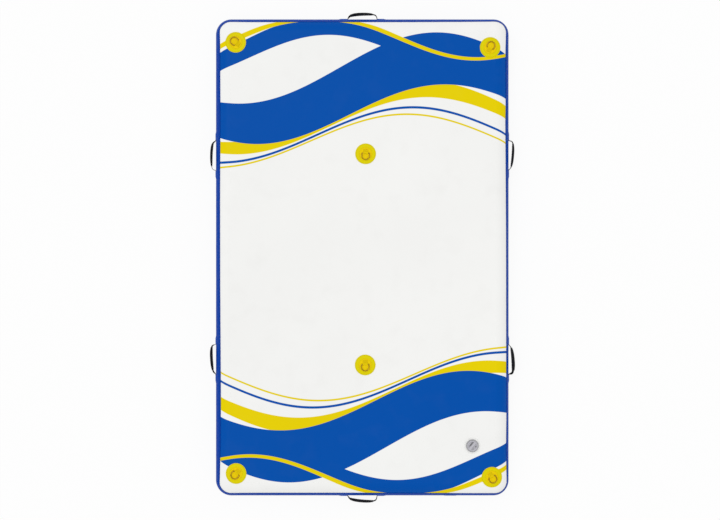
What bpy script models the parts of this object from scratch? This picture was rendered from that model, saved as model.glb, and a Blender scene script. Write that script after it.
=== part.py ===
"""An inflatable floating deck: a drop-stitch air chamber with D-rings, carry handles and an air valve.

X is the width, Y the length and Z is up. The origin is under the middle of the deck, on the flat of
its bottom skin. The front is +Y. Lengths are in metres and angles in degrees.
"""
import math

import bmesh
import bpy
from mathutils import Matrix, Vector

# Overall size of the inflated chamber
LENGTH = 2.44
WIDTH = 1.50
THICKNESS = 0.15
PANEL_CORNER_RADIUS = 0.0125

# Sheets that the chamber is glued from, and where their rims lie on the rounded edge
SKIN_SHEET = 0.0012
WALL_SHEET = 0.0012
STRIP_SHEET = 0.0010
CLOTH_SHEET = 0.0010
BOND_GAP = 0.0003
SKIN_RIM_ANGLE = 25.0
WALL_RIM_ANGLE = 41.0
STRIP_RIM_ANGLE = 48.0
JOINT_PATCH_WIDTH = 0.060
JOINT_PATCH_ANGLE = 38.0
JOINT_PATCH_FROM_MIDDLE = 0.45
WALL_JOINT_GAP = 0.001

# Threads that tie the two cloths together, at a wider pitch than the real ones
CLOTH_INSET = 0.006
STRAND_PITCH = 0.165
STRAND_MARGIN = 0.040
STRAND_RADIUS = 0.0016
STRAND_CLEARANCE = 0.010

# Air valve, with its place measured from the deck's right and rear edges
VALVE_FROM_SIDE = 0.194
VALVE_FROM_END = 0.264
VALVE_BORE_RADIUS = 0.0170
VALVE_NECK_RADIUS = 0.0220
VALVE_NECK_DEPTH = 0.0300
VALVE_FLANGE_RADIUS = 0.0325
VALVE_FLANGE_HEIGHT = 0.0030
VALVE_FREE_RIM_GAP = 0.0005
VALVE_CAP_SEAT_DEPTH = 0.0003
VALVE_HOLE_CLEARANCE = 0.0005
VALVE_PATCH_RADIUS = 0.0410
VALVE_PATCH_SHEET = 0.0010
VALVE_GASKET_RADIUS = 0.0300
VALVE_GASKET_SHEET = 0.0010
VALVE_NUT_RADIUS = 0.0310
VALVE_NUT_HEIGHT = 0.0080
VALVE_NUT_NOTCH = 0.0040
VALVE_SEAT_RADIUS = 0.0090
VALVE_SEAT_HEIGHT = 0.0050

# Guide for the valve's stem: a hub on three arms, clipped across the neck's bore
GUIDE_DEPTH = 0.0120
GUIDE_HEIGHT = 0.0040
GUIDE_HUB_RADIUS = 0.0045
GUIDE_ARM_WIDTH = 0.0030
GUIDE_ARMS = 3
GUIDE_FIRST_ARM = 60.0

# Stem, its poppet, seal, button and spring
STEM_RADIUS = 0.0022
STEM_CLEARANCE = 0.0004
STEM_TOP = 0.0005
POPPET_RADIUS = 0.0155
POPPET_HEIGHT = 0.0025
POPPET_SEAL_RADIUS = 0.0150
POPPET_SEAL_SHEET = 0.0015
BUTTON_RADIUS = 0.0055
BUTTON_TOP = 0.0015
BUTTON_SKIRT = 0.0038
BUTTON_ROOF = 0.0007
SPRING_RADIUS = 0.0040
SPRING_WIRE = 0.0009
SPRING_TURNS = 5.5
SPRING_POINTS_PER_TURN = 10

# Valve cap with its plug, raised rim and grip bar
CAP_RADIUS = 0.0270
CAP_PLATE = 0.0025
CAP_RIM_HEIGHT = 0.0012
CAP_RIM_WIDTH = 0.0030
CAP_PLUG_CLEARANCE = 0.0004
CAP_PLUG_WALL = 0.0024
CAP_PLUG_DEPTH = 0.0090
CAP_BAR_LENGTH = 0.0480
CAP_BAR_WIDTH = 0.0150
CAP_BAR_HEIGHT = 0.0030
CAP_BAR_HEADING = 50.0
CAP_SEAL_SHEET = 0.0010
CAP_SEAL_WIDTH = 0.0040

# D-rings: name, side of the deck, inset from that side, end, inset from that end, way the ring points
RING_PLACES = (
    ("front_left", -1, 0.105, 1, 0.128, 141.0),
    ("front_right", 1, 0.103, 1, 0.154, 68.0),
    ("rear_left", -1, 0.107, -1, 0.123, 229.0),
    ("rear_right", 1, 0.094, -1, 0.104, 298.0),
)
CENTRE_RING_PLACES = (
    ("centre_front", 0.0145, 0.526, 270.0),
    ("centre_rear", 0.0125, -0.546, 270.0),
)
RING_PATCH_RADIUS = 0.0525
RING_PATCH_SHEET = 0.0010
RING_PATCH_GAP = 0.0005
RING_PATCH_CROWN = 0.0002
RING_COVER_RADIUS = 0.0330
RING_COVER_SHEET = 0.0010
RING_WIRE_RADIUS = 0.0025
RING_HALF_WIDTH = 0.0195
RING_SIDE = 0.0135
RING_BEND_RADIUS = 0.0040
RING_BAR_SETBACK = 0.0035
RING_CLEARANCE = 0.0004
LOOP_LENGTH = 0.0250
LOOP_SHEET = 0.0012
LOOP_FLOOR = 0.0004

# Carry handles: name, way the wall faces, distance along that wall from its middle
HANDLE_FROM_MIDDLE = 0.523
HANDLE_PLACES = (
    ("right_front", 0.0, HANDLE_FROM_MIDDLE),
    ("right_rear", 0.0, -HANDLE_FROM_MIDDLE),
    ("left_rear", 180.0, HANDLE_FROM_MIDDLE),
    ("left_front", 180.0, -HANDLE_FROM_MIDDLE),
    ("front", 90.0, 0.0),
    ("rear", 270.0, 0.0),
)
HANDLE_SPAN = 0.157
HANDLE_REACH = 0.034
HINGE_STANDOFF = 0.0025
GRIP_LENGTH = 0.112
GRIP_HEIGHT = 0.032
GRIP_THICKNESS = 0.010
GRIP_CLEARANCE = 0.0004
WEBBING_WIDTH = 0.025
WEBBING_SHEET = 0.0018
STRAP_NECK = 0.0030
STRAP_NECK_SLOPE = 0.80
STRAP_LEVEL_PAST_GRIP = 0.002
ANCHOR_LENGTH = 0.040
ANCHOR_ANGLE = 20.0
ANCHOR_SHEET = 0.0028
ANCHOR_CORNER_RADIUS = 0.006
ANCHOR_CLEARANCE = 0.0005

# Fineness of the curved surfaces
CORNER_STEPS = 8
SHOULDER_STEPS = 7
DISC_STEPS = 40
DRAPED_STEPS = 32
DRAPED_RINGS = 5
TURNED_STEPS = 32
SMALL_TURNED_STEPS = 16
BORE_STEPS = 12
STRAP_STEPS = 22
WELD_DISTANCE = 0.00001

# Sizes that follow from the ones above
EDGE_RADIUS = THICKNESS / 2
MIDDLE_Z = THICKNESS / 2
WALL_RADIUS = EDGE_RADIUS + BOND_GAP + WALL_SHEET
FLAT_HALF_X = WIDTH / 2 - WALL_RADIUS
FLAT_HALF_Y = LENGTH / 2 - WALL_RADIUS
CLOTH_TOP = THICKNESS - SKIN_SHEET - BOND_GAP
CLOTH_BOTTOM = SKIN_SHEET + BOND_GAP
VALVE_X = WIDTH / 2 - VALVE_FROM_SIDE
VALVE_Y = VALVE_FROM_END - LENGTH / 2
VALVE_HOLE_RADIUS = VALVE_NECK_RADIUS + VALVE_HOLE_CLEARANCE
FLANGE_TOP = 3 * BOND_GAP + VALVE_PATCH_SHEET + VALVE_GASKET_SHEET + VALVE_FLANGE_HEIGHT
CAP_SEAT = FLANGE_TOP - VALVE_CAP_SEAT_DEPTH
CAP_BOTTOM = CAP_SEAT + 2 * BOND_GAP + CAP_SEAL_SHEET
CAP_PLUG_RADIUS = VALVE_BORE_RADIUS - CAP_PLUG_CLEARANCE
RING_PATCH_TOP = THICKNESS + RING_PATCH_GAP + RING_PATCH_CROWN + RING_PATCH_SHEET
RING_COVER_TOP = RING_PATCH_TOP + BOND_GAP + RING_COVER_SHEET
LOOP_BORE_RADIUS = RING_WIRE_RADIUS + RING_CLEARANCE
RING_Z = RING_COVER_TOP + LOOP_FLOOR + LOOP_BORE_RADIUS


def make_material(name, colour, roughness, metallic=0.0):
    material = bpy.data.materials.new(name)
    material.use_nodes = True
    shader = material.node_tree.nodes["Principled BSDF"]
    shader.inputs["Base Color"].default_value = (*colour, 1.0)
    shader.inputs["Roughness"].default_value = roughness
    shader.inputs["Metallic"].default_value = metallic
    return material


def add_object(name, data, materials=None, place=None, parent=None):
    """Puts a mesh or curve in the deck's collection; a piece with no material is a hidden cutter."""
    piece = bpy.data.objects.new(name, data)
    if materials is None:
        piece.hide_render = True
        piece.display_type = "WIRE"
        bpy.data.collections["cutters"].objects.link(piece)
    else:
        if not data.materials:
            data.materials.append(materials)
        bpy.data.collections["inflatable_floating_deck"].objects.link(piece)
    piece.parent = parent
    piece.matrix_local = place or Matrix.Identity(4)
    return piece


def add_pivot(name, place):
    """An empty that holds the pieces of one fitting, on the axis that they turn about."""
    pivot = bpy.data.objects.new(name, None)
    pivot.empty_display_size = 0.02
    bpy.data.collections["inflatable_floating_deck"].objects.link(pivot)
    pivot.matrix_local = place
    return pivot


def placed(x, y, z, heading=0.0):
    return Matrix.Translation((x, y, z)) @ Matrix.Rotation(math.radians(heading), 4, "Z")


def to_mesh(name, bm):
    mesh = bpy.data.meshes.new(name)
    bm.normal_update()
    bm.to_mesh(mesh)
    bm.free()
    mesh.shade_smooth()
    mesh.set_sharp_from_angle(angle=math.radians(35))
    return mesh


def add_boolean(piece, operation, cutter):
    modifier = piece.modifiers.new(operation.lower(), "BOOLEAN")
    modifier.operation = operation
    modifier.object = cutter
    modifier.solver = "EXACT"


def add_sheet_thickness(piece, thickness, outwards):
    modifier = piece.modifiers.new("sheet", "SOLIDIFY")
    modifier.thickness = thickness
    modifier.offset = 1.0 if outwards else -1.0
    modifier.use_even_offset = True


def add_mirror(piece):
    """Completes a half that is open at the deck's mid height."""
    modifier = piece.modifiers.new("lower half", "MIRROR")
    modifier.use_axis = (False, False, True)
    modifier.merge_threshold = WELD_DISTANCE


def box_mesh(name, length, width, height):
    bm = bmesh.new()
    bmesh.ops.create_cube(bm, size=1.0)
    bmesh.ops.scale(bm, vec=(length, width, height), verts=bm.verts)
    return to_mesh(name, bm)


def disc_mesh(name, radius, height, steps=DISC_STEPS):
    """A round plate or rod that stands on z = 0."""
    bm = bmesh.new()
    bmesh.ops.create_cone(bm, cap_ends=True, segments=steps, radius1=radius, radius2=radius, depth=height)
    bmesh.ops.translate(bm, vec=(0, 0, height / 2), verts=bm.verts)
    return to_mesh(name, bm)


def add_turned(name, profile, material, place, steps=TURNED_STEPS, closed=True):
    """Turns a profile of (radius, height) points, which runs down its outer side, about the Z axis."""
    bm = bmesh.new()
    points = [bm.verts.new((radius, 0, height)) for radius, height in profile]
    for first, second in zip(points, points[1:]):
        bm.edges.new((first, second))
    if closed:
        bm.edges.new((points[-1], points[0]))
    piece = add_object(name, to_mesh(name, bm), material, place)
    modifier = piece.modifiers.new("turned", "SCREW")
    modifier.steps = steps
    modifier.render_steps = steps
    modifier.use_merge_vertices = True
    modifier.merge_threshold = WELD_DISTANCE
    return piece


def ring_profile(inner, outer, bottom, top):
    return [(outer, top), (outer, bottom), (inner, bottom), (inner, top)]


def bake(piece):
    """The piece's finished mesh, for copies that share it."""
    graph = bpy.context.evaluated_depsgraph_get()
    return bpy.data.meshes.new_from_object(piece.evaluated_get(graph))


def round_edges(bm, edges, radius, steps):
    bmesh.ops.bevel(bm, geom=edges, offset=radius, segments=steps, profile=0.5, affect="EDGES")


def upright_edges(bm):
    return [edge for edge in bm.edges if abs((edge.verts[0].co - edge.verts[1].co).normalized().z) > 0.9]


def cut_level(bm, height, keep_above):
    bmesh.ops.bisect_plane(
        bm,
        geom=bm.verts[:] + bm.edges[:] + bm.faces[:],
        dist=0.000001,
        plane_co=(0, 0, height),
        plane_no=(0, 0, 1),
        clear_inner=keep_above,
        clear_outer=not keep_above,
    )


def shoulder_sheet(name, offset, low_angle, high_angle=None):
    """The chamber's upper outside, moved out by offset, between two angles of its rounded edge.

    Heights count from the chamber's mid height. Without a high angle the flat panel stays on.
    """
    radius = EDGE_RADIUS + offset
    below_middle = EDGE_RADIUS / 2
    bm = bmesh.new()
    bmesh.ops.create_cube(bm, size=1.0)
    size = (2 * (FLAT_HALF_X + radius), 2 * (FLAT_HALF_Y + radius), radius + below_middle)
    bmesh.ops.scale(bm, vec=size, verts=bm.verts)
    bmesh.ops.translate(bm, vec=(0, 0, (radius - below_middle) / 2), verts=bm.verts)
    round_edges(bm, upright_edges(bm), PANEL_CORNER_RADIUS + radius, CORNER_STEPS)
    top = max(vert.co.z for vert in bm.verts) - WELD_DISTANCE
    rim = [edge for edge in bm.edges if min(edge.verts[0].co.z, edge.verts[1].co.z) > top]
    round_edges(bm, rim, radius, SHOULDER_STEPS)
    cut_level(bm, radius * math.sin(math.radians(low_angle)), keep_above=True)
    if high_angle is not None:
        cut_level(bm, radius * math.sin(math.radians(high_angle)), keep_above=False)
    return to_mesh(name, bm)


def build_skins(material, valve_hole):
    """Coated skins, whose rims turn down over the rounded edge and end under the side wall."""
    mesh = shoulder_sheet("skin", 0.0, SKIN_RIM_ANGLE)
    over = Matrix.Rotation(math.pi, 4, "X")
    middle = Matrix.Translation((0, 0, MIDDLE_Z))
    top = add_object("top_skin", mesh, material["top_skin"], middle)
    bottom = add_object("bottom_skin", mesh.copy(), material["bottom_skin"], middle @ over)
    bottom.data.materials.clear()
    bottom.data.materials.append(material["bottom_skin"])
    add_sheet_thickness(top, SKIN_SHEET, outwards=False)
    add_sheet_thickness(bottom, SKIN_SHEET, outwards=False)
    add_boolean(top, "DIFFERENCE", valve_hole)


def build_walls(material):
    """The outer wall band, whose ends butt in the rear wall, the patch there and the strip behind."""
    middle = Matrix.Translation((0, 0, MIDDLE_Z))
    wall = add_object(
        "side_wall", shoulder_sheet("wall", BOND_GAP, 0.0, WALL_RIM_ANGLE), material["side_wall"], middle
    )
    add_mirror(wall)
    add_sheet_thickness(wall, WALL_SHEET, outwards=True)
    joint_place = wall_place(270.0, JOINT_PATCH_FROM_MIDDLE, WALL_RADIUS)
    joint = box_mesh("wall joint", 2 * WALL_RADIUS, WALL_JOINT_GAP, THICKNESS)
    add_boolean(wall, "DIFFERENCE", add_object("wall joint", joint, None, joint_place))
    behind_skin = -SKIN_SHEET - BOND_GAP
    strip = add_object(
        "inner_wall_strip",
        shoulder_sheet("strip", behind_skin, 0.0, STRIP_RIM_ANGLE),
        material["inner_wall_strip"],
        middle,
    )
    add_mirror(strip)
    add_sheet_thickness(strip, STRIP_SHEET, outwards=False)
    patch = add_object(
        "wall_joint_patch",
        arc_sheet("joint patch", JOINT_PATCH_WIDTH, JOINT_PATCH_ANGLE, 10),
        material["wall_joint_patch"],
        wall_place(270.0, JOINT_PATCH_FROM_MIDDLE, 0.0),
    )
    add_sheet_thickness(patch, WALL_SHEET, outwards=True)


def build_core(material, valve_hole):
    """Two cloths tied by threads: the lower cloth, joined with the upper one and the strands."""
    bm = bmesh.new()
    bmesh.ops.create_cube(bm, size=1.0)
    size = (2 * (FLAT_HALF_X - CLOTH_INSET), 2 * (FLAT_HALF_Y - CLOTH_INSET), CLOTH_SHEET)
    bmesh.ops.scale(bm, vec=size, verts=bm.verts)
    round_edges(bm, upright_edges(bm), PANEL_CORNER_RADIUS, CORNER_STEPS // 2)
    cloth = to_mesh("cloth", bm)
    low = Matrix.Translation((0, 0, CLOTH_BOTTOM + CLOTH_SHEET / 2))
    high = Matrix.Translation((0, 0, CLOTH_TOP - CLOTH_SHEET / 2))
    core = add_object("drop_stitch_core", cloth, material["drop_stitch_core"], low)
    upper = add_object("upper cloth", cloth.copy(), None, high)
    strands = add_object("strands", strand_mesh(), None)
    add_boolean(core, "UNION", upper)
    add_boolean(core, "UNION", strands)
    add_boolean(core, "DIFFERENCE", valve_hole)


def strand_mesh():
    """Rows of threads that end half way into each cloth and stay clear of the valve."""
    bm = bmesh.new()
    depth = CLOTH_TOP - CLOTH_BOTTOM - CLOTH_SHEET
    for x in centred_row(FLAT_HALF_X - STRAND_MARGIN):
        for y in centred_row(FLAT_HALF_Y - STRAND_MARGIN):
            clear = VALVE_NUT_RADIUS + STRAND_RADIUS + STRAND_CLEARANCE
            if math.dist((x, y), (VALVE_X, VALVE_Y)) < clear:
                continue
            bmesh.ops.create_cone(
                bm,
                cap_ends=True,
                segments=4,
                radius1=STRAND_RADIUS,
                radius2=STRAND_RADIUS,
                depth=depth,
                matrix=Matrix.Translation((x, y, MIDDLE_Z)),
            )
    return to_mesh("strands", bm)


def centred_row(half_length):
    count = int(2 * half_length / STRAND_PITCH)
    return [(index - count / 2) * STRAND_PITCH for index in range(count + 1)]


def wall_place(facing, along, out):
    """A place on a wall's edge axis, or out from it: X points out of the deck and Y along the wall."""
    flat_half = FLAT_HALF_X if facing in (0.0, 180.0) else FLAT_HALF_Y
    turn = Matrix.Rotation(math.radians(facing), 4, "Z")
    return Matrix.Translation((0, 0, MIDDLE_Z)) @ turn @ Matrix.Translation((flat_half + out, along, 0))


def arc_sheet(name, length, half_angle, steps):
    """A sheet that lies on the wall, as long as given along it and bent round its edge axis."""
    radius = WALL_RADIUS + BOND_GAP
    bm = bmesh.new()
    start = Matrix.Rotation(math.radians(half_angle), 4, "Y")
    ends = [bm.verts.new(start @ Vector((radius, side * length / 2, 0))) for side in (1, -1)]
    line = bm.edges.new(ends)
    bmesh.ops.spin(
        bm,
        geom=ends + [line],
        axis=(0, 1, 0),
        cent=(0, 0, 0),
        angle=-math.radians(2 * half_angle),
        steps=steps,
    )
    bmesh.ops.recalc_face_normals(bm, faces=bm.faces)
    bm.normal_update()
    if bm.faces[0].normal.x < 0:
        bmesh.ops.reverse_faces(bm, faces=bm.faces)
    return to_mesh(name, bm)


def build_valve(material):
    """Valve parts from the patch down to the seat; heights count from the top skin's face."""
    place = placed(VALVE_X, VALVE_Y, THICKNESS)
    patch_top = BOND_GAP + VALVE_PATCH_SHEET
    gasket_bottom = patch_top + BOND_GAP
    gasket_top = gasket_bottom + VALVE_GASKET_SHEET
    patch = ring_profile(VALVE_HOLE_RADIUS, VALVE_PATCH_RADIUS, BOND_GAP, patch_top)
    add_turned("valve_patch", patch, material["valve_patch"], place)
    gasket = ring_profile(VALVE_HOLE_RADIUS, VALVE_GASKET_RADIUS, gasket_bottom, gasket_top)
    add_turned("valve_gasket", gasket, material["valve_gasket"], place)
    build_valve_body(material, place, gasket_top + BOND_GAP)
    build_valve_guide(material, place)
    build_valve_nut(material, place)
    build_stem(material, place)
    build_cap(material, place)


def build_valve_body(material, place, flange_bottom):
    """Flange, neck and seat turned in one; the cap's seat lies a little lower than the free rim."""
    seat_top = VALVE_SEAT_HEIGHT - VALVE_NECK_DEPTH
    rim = VALVE_FLANGE_HEIGHT / 3
    rim_inside = CAP_RADIUS + VALVE_FREE_RIM_GAP
    profile = [
        (VALVE_FLANGE_RADIUS - rim, FLANGE_TOP),
        (VALVE_FLANGE_RADIUS, FLANGE_TOP - rim),
        (VALVE_FLANGE_RADIUS, flange_bottom),
        (VALVE_NECK_RADIUS, flange_bottom),
        (VALVE_NECK_RADIUS, -VALVE_NECK_DEPTH),
        (VALVE_SEAT_RADIUS, -VALVE_NECK_DEPTH),
        (VALVE_SEAT_RADIUS, seat_top),
        (VALVE_BORE_RADIUS, seat_top),
        (VALVE_BORE_RADIUS, CAP_SEAT),
        (rim_inside - VALVE_CAP_SEAT_DEPTH, CAP_SEAT),
        (rim_inside, FLANGE_TOP),
    ]
    add_turned("valve_body", profile, material["valve_body"], place)


def build_valve_guide(material, place):
    """The hub that the stem slides in, joined with the arms that hold it in the neck's bore."""
    bottom = -GUIDE_DEPTH - GUIDE_HEIGHT
    hub = disc_mesh("guide hub", GUIDE_HUB_RADIUS, GUIDE_HEIGHT, SMALL_TURNED_STEPS)
    guide = add_object("valve_guide", hub, material["valve_guide"], place @ placed(0, 0, bottom))
    arm_length = VALVE_BORE_RADIUS - BOND_GAP
    for index in range(GUIDE_ARMS):
        turn = placed(0, 0, bottom + GUIDE_HEIGHT / 2, GUIDE_FIRST_ARM + index * 360 / GUIDE_ARMS)
        reach = Matrix.Translation((arm_length / 2, 0, 0))
        arm_mesh = box_mesh("guide arm", arm_length, GUIDE_ARM_WIDTH, GUIDE_HEIGHT)
        arm = add_object(f"guide arm {index + 1}", arm_mesh, None, place @ turn @ reach)
        add_boolean(guide, "UNION", arm)
    bore_low = placed(0, 0, bottom - GUIDE_HEIGHT / 2)
    bore_mesh = disc_mesh("stem bore", STEM_RADIUS + STEM_CLEARANCE, 2 * GUIDE_HEIGHT, SMALL_TURNED_STEPS)
    add_boolean(guide, "DIFFERENCE", add_object("stem bore", bore_mesh, None, place @ bore_low))


def build_valve_nut(material, place):
    """Backing nut inside the deck, with six spanner notches in its lower face."""
    top = CLOTH_TOP - THICKNESS - CLOTH_SHEET - BOND_GAP
    bottom = top - VALVE_NUT_HEIGHT
    profile = ring_profile(VALVE_HOLE_RADIUS, VALVE_NUT_RADIUS, bottom, top)
    nut = add_turned("valve_nut", profile, material["valve_nut"], place)
    reach = VALVE_NUT_RADIUS + VALVE_NUT_NOTCH
    for index in range(3):
        turn = placed(0, 0, bottom, index * 60)
        mesh = box_mesh("notch", 2 * reach, VALVE_NUT_NOTCH, VALVE_NUT_NOTCH)
        add_boolean(nut, "DIFFERENCE", add_object(f"nut notch {index + 1}", mesh, None, place @ turn))


def build_stem(material, place):
    """Stem with its poppet under the seat, the seal between them, the button and its spring."""
    seal_top = -VALVE_NECK_DEPTH - BOND_GAP
    seal_bottom = seal_top - POPPET_SEAL_SHEET
    poppet_top = seal_bottom - BOND_GAP
    poppet_bottom = poppet_top - POPPET_HEIGHT
    stem = [
        (0, STEM_TOP),
        (STEM_RADIUS, STEM_TOP),
        (STEM_RADIUS, poppet_top),
        (POPPET_RADIUS, poppet_top),
        (POPPET_RADIUS, poppet_bottom),
        (0, poppet_bottom),
    ]
    add_turned("valve_stem", stem, material["valve_stem"], place, closed=False)
    seal = ring_profile(STEM_RADIUS + STEM_CLEARANCE, POPPET_SEAL_RADIUS, seal_bottom, seal_top)
    add_turned("valve_seal", seal, material["valve_seal"], place)
    roof = BUTTON_TOP - BUTTON_ROOF
    skirt = BUTTON_TOP - BUTTON_SKIRT
    button = [
        (0, BUTTON_TOP),
        (BUTTON_RADIUS, BUTTON_TOP),
        (BUTTON_RADIUS, skirt),
        (STEM_RADIUS + BOND_GAP, skirt),
        (STEM_RADIUS + BOND_GAP, roof),
        (0, roof),
    ]
    add_turned("valve_button", button, material["valve_button"], place, SMALL_TURNED_STEPS, closed=False)
    add_object("valve_spring", spring_curve(-GUIDE_DEPTH, skirt), material["valve_spring"], place)


def spring_curve(bottom, top):
    """A coil between the guide's hub and the button, one point after another along a helix."""
    low = bottom + BOND_GAP + SPRING_WIRE / 2
    rise = top - BOND_GAP - SPRING_WIRE / 2 - low
    pitch = rise / SPRING_TURNS
    print(f"valve spring: least gap between turns {1000 * (pitch - SPRING_WIRE):.2f} mm")
    count = int(SPRING_TURNS * SPRING_POINTS_PER_TURN)
    curve = bpy.data.curves.new("spring", "CURVE")
    curve.dimensions = "3D"
    curve.bevel_depth = SPRING_WIRE / 2
    curve.bevel_resolution = 1
    curve.use_fill_caps = True
    spline = curve.splines.new("POLY")
    spline.points.add(count)
    for index, point in enumerate(spline.points):
        share = index / count
        angle = 2 * math.pi * SPRING_TURNS * share
        x = SPRING_RADIUS * math.cos(angle)
        y = SPRING_RADIUS * math.sin(angle)
        point.co = (x, y, low + rise * share, 1.0)
    return curve


def build_cap(material, place):
    """Cap with a hollow plug that fits the bore, a raised rim and a grip bar, on a flat seal."""
    top = CAP_BOTTOM + CAP_PLATE
    slope = CAP_RIM_HEIGHT
    plug_inside = CAP_PLUG_RADIUS - CAP_PLUG_WALL
    profile = [
        (0, top),
        (CAP_RADIUS - CAP_RIM_WIDTH - slope, top),
        (CAP_RADIUS - CAP_RIM_WIDTH, top + CAP_RIM_HEIGHT),
        (CAP_RADIUS - slope, top + CAP_RIM_HEIGHT),
        (CAP_RADIUS, top),
        (CAP_RADIUS, CAP_BOTTOM),
        (CAP_PLUG_RADIUS, CAP_BOTTOM),
        (CAP_PLUG_RADIUS, CAP_BOTTOM - CAP_PLUG_DEPTH),
        (plug_inside, CAP_BOTTOM - CAP_PLUG_DEPTH),
        (plug_inside, CAP_BOTTOM),
        (0, CAP_BOTTOM),
    ]
    cap = add_turned("valve_cap", profile, material["valve_cap"], place, closed=False)
    bm = bmesh.new()
    bmesh.ops.create_cube(bm, size=1.0)
    sunk = CAP_PLATE / 2
    size = (CAP_BAR_LENGTH, CAP_BAR_WIDTH, CAP_BAR_HEIGHT + sunk)
    bmesh.ops.scale(bm, vec=size, verts=bm.verts)
    bmesh.ops.translate(bm, vec=(0, 0, top + (CAP_BAR_HEIGHT - sunk) / 2), verts=bm.verts)
    round_edges(bm, upright_edges(bm), CAP_BAR_WIDTH / 3, 3)
    turn = placed(0, 0, 0, CAP_BAR_HEADING)
    add_boolean(cap, "UNION", add_object("cap bar", to_mesh("cap bar", bm), None, place @ turn))
    seal_bottom = CAP_SEAT + BOND_GAP
    seal_inside = CAP_PLUG_RADIUS + CAP_PLUG_CLEARANCE
    seal = ring_profile(seal_inside, seal_inside + CAP_SEAL_WIDTH, seal_bottom, seal_bottom + CAP_SEAL_SHEET)
    add_turned("valve_cap_seal", seal, material["valve_cap_seal"], place)


def ring_places():
    """Each D-ring's name, the middle of its patch and the way it points."""
    for name, side, from_side, end, from_end, heading in RING_PLACES:
        yield name, side * (WIDTH / 2 - from_side), end * (LENGTH / 2 - from_end), heading
    yield from CENTRE_RING_PLACES


def ring_curve():
    """Bent steel wire in the shape of a D: the bar lies on X and the bow points along Y."""
    points = []
    for index in range(11):
        angle = math.pi * index / 10
        points.append((RING_HALF_WIDTH * math.cos(angle), RING_SIDE + RING_HALF_WIDTH * math.sin(angle)))
    bend_middle = RING_HALF_WIDTH - RING_BEND_RADIUS
    for side, first in ((-1, math.pi), (1, 1.5 * math.pi)):
        for index in range(4):
            angle = first + math.pi / 2 * index / 3
            x = side * bend_middle + RING_BEND_RADIUS * math.cos(angle)
            points.append((x, RING_BEND_RADIUS + RING_BEND_RADIUS * math.sin(angle)))
    curve = bpy.data.curves.new("D-ring", "CURVE")
    curve.dimensions = "3D"
    curve.bevel_depth = RING_WIRE_RADIUS
    curve.bevel_resolution = 2
    spline = curve.splines.new("POLY")
    spline.points.add(len(points) - 1)
    spline.use_cyclic_u = True
    for point, (x, y) in zip(spline.points, points):
        point.co = (x, y, 0.0, 1.0)
    return curve


def loop_mesh():
    """An arch of webbing over the D-ring's bar, from just inside the cover up; the bar lies on X."""
    outer = LOOP_BORE_RADIUS + LOOP_SHEET
    foot = -LOOP_FLOOR - LOOP_BORE_RADIUS - RING_COVER_SHEET / 2
    bm = bmesh.new()
    outline = [(outer, foot)]
    for index in range(9):
        angle = math.pi * index / 8
        outline.append((outer * math.cos(angle), outer * math.sin(angle)))
    outline.append((-outer, foot))
    face = bm.faces.new([bm.verts.new((-LOOP_LENGTH / 2, y, z)) for y, z in outline])
    moved = bmesh.ops.extrude_face_region(bm, geom=[face])["geom"]
    corners = [item for item in moved if isinstance(item, bmesh.types.BMVert)]
    bmesh.ops.translate(bm, vec=(LOOP_LENGTH, 0, 0), verts=corners)
    bmesh.ops.recalc_face_normals(bm, faces=bm.faces)
    return to_mesh("loop", bm)


def surface_height(x, y, lift):
    """How high a sheet lies that follows the chamber's top and its rounded edge, lift above the skin."""
    past_x = max(abs(x) - FLAT_HALF_X + PANEL_CORNER_RADIUS, 0.0)
    past_y = max(abs(y) - FLAT_HALF_Y + PANEL_CORNER_RADIUS, 0.0)
    past_flat = max(math.hypot(past_x, past_y) - PANEL_CORNER_RADIUS, 0.0)
    return MIDDLE_Z + math.sqrt((EDGE_RADIUS + lift) ** 2 - past_flat**2)


def draped_disc_mesh(x, y, radius, lift):
    """A round sheet that lies on the chamber, also where it reaches over the rounded edge.

    Inside its rim it lies a little higher, over the folded webbing that comes up through the cover.
    """
    rim = radius * (DRAPED_RINGS - 1) / DRAPED_RINGS - WELD_DISTANCE
    bm = bmesh.new()
    spoke = [bm.verts.new((radius * index / DRAPED_RINGS, 0, 0)) for index in range(DRAPED_RINGS + 1)]
    edges = [bm.edges.new(pair) for pair in zip(spoke, spoke[1:])]
    turn = {"axis": (0, 0, 1), "cent": (0, 0, 0), "angle": 2 * math.pi, "steps": DRAPED_STEPS}
    bmesh.ops.spin(bm, geom=spoke + edges, use_merge=True, **turn)
    bmesh.ops.remove_doubles(bm, verts=bm.verts, dist=WELD_DISTANCE)
    for vert in bm.verts:
        crown = RING_PATCH_CROWN if math.hypot(*vert.co.xy) < rim else 0.0
        vert.co.z = surface_height(x + vert.co.x, y + vert.co.y, lift) + crown
    bmesh.ops.recalc_face_normals(bm, faces=bm.faces)
    bm.normal_update()
    if sum(face.normal.z for face in bm.faces) < 0:
        bmesh.ops.reverse_faces(bm, faces=bm.faces)
    bmesh.ops.dissolve_limit(bm, angle_limit=math.radians(0.1), verts=bm.verts, edges=bm.edges)
    return to_mesh("draped disc", bm)


def ring_cover_mesh():
    """The round cover with its webbing loop, bored for the D-ring's bar; origin on the bar's axis."""
    low = RING_COVER_TOP - RING_COVER_SHEET - RING_Z
    plate = disc_mesh("cover plate", RING_COVER_RADIUS, RING_COVER_SHEET)
    cover = add_object("cover plate", plate, None, Matrix.Translation((0, RING_BAR_SETBACK, low)))
    add_boolean(cover, "UNION", add_object("webbing loop", loop_mesh(), None))
    rod = disc_mesh("loop bore", LOOP_BORE_RADIUS, 2 * LOOP_LENGTH, BORE_STEPS)
    across = Matrix.Rotation(math.radians(90), 4, "Y") @ Matrix.Translation((0, 0, -LOOP_LENGTH))
    add_boolean(cover, "DIFFERENCE", add_object("loop bore", rod, None, across))
    bpy.context.view_layer.update()
    mesh = bake(cover)
    mesh.transform(cover.matrix_world)
    return mesh


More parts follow.
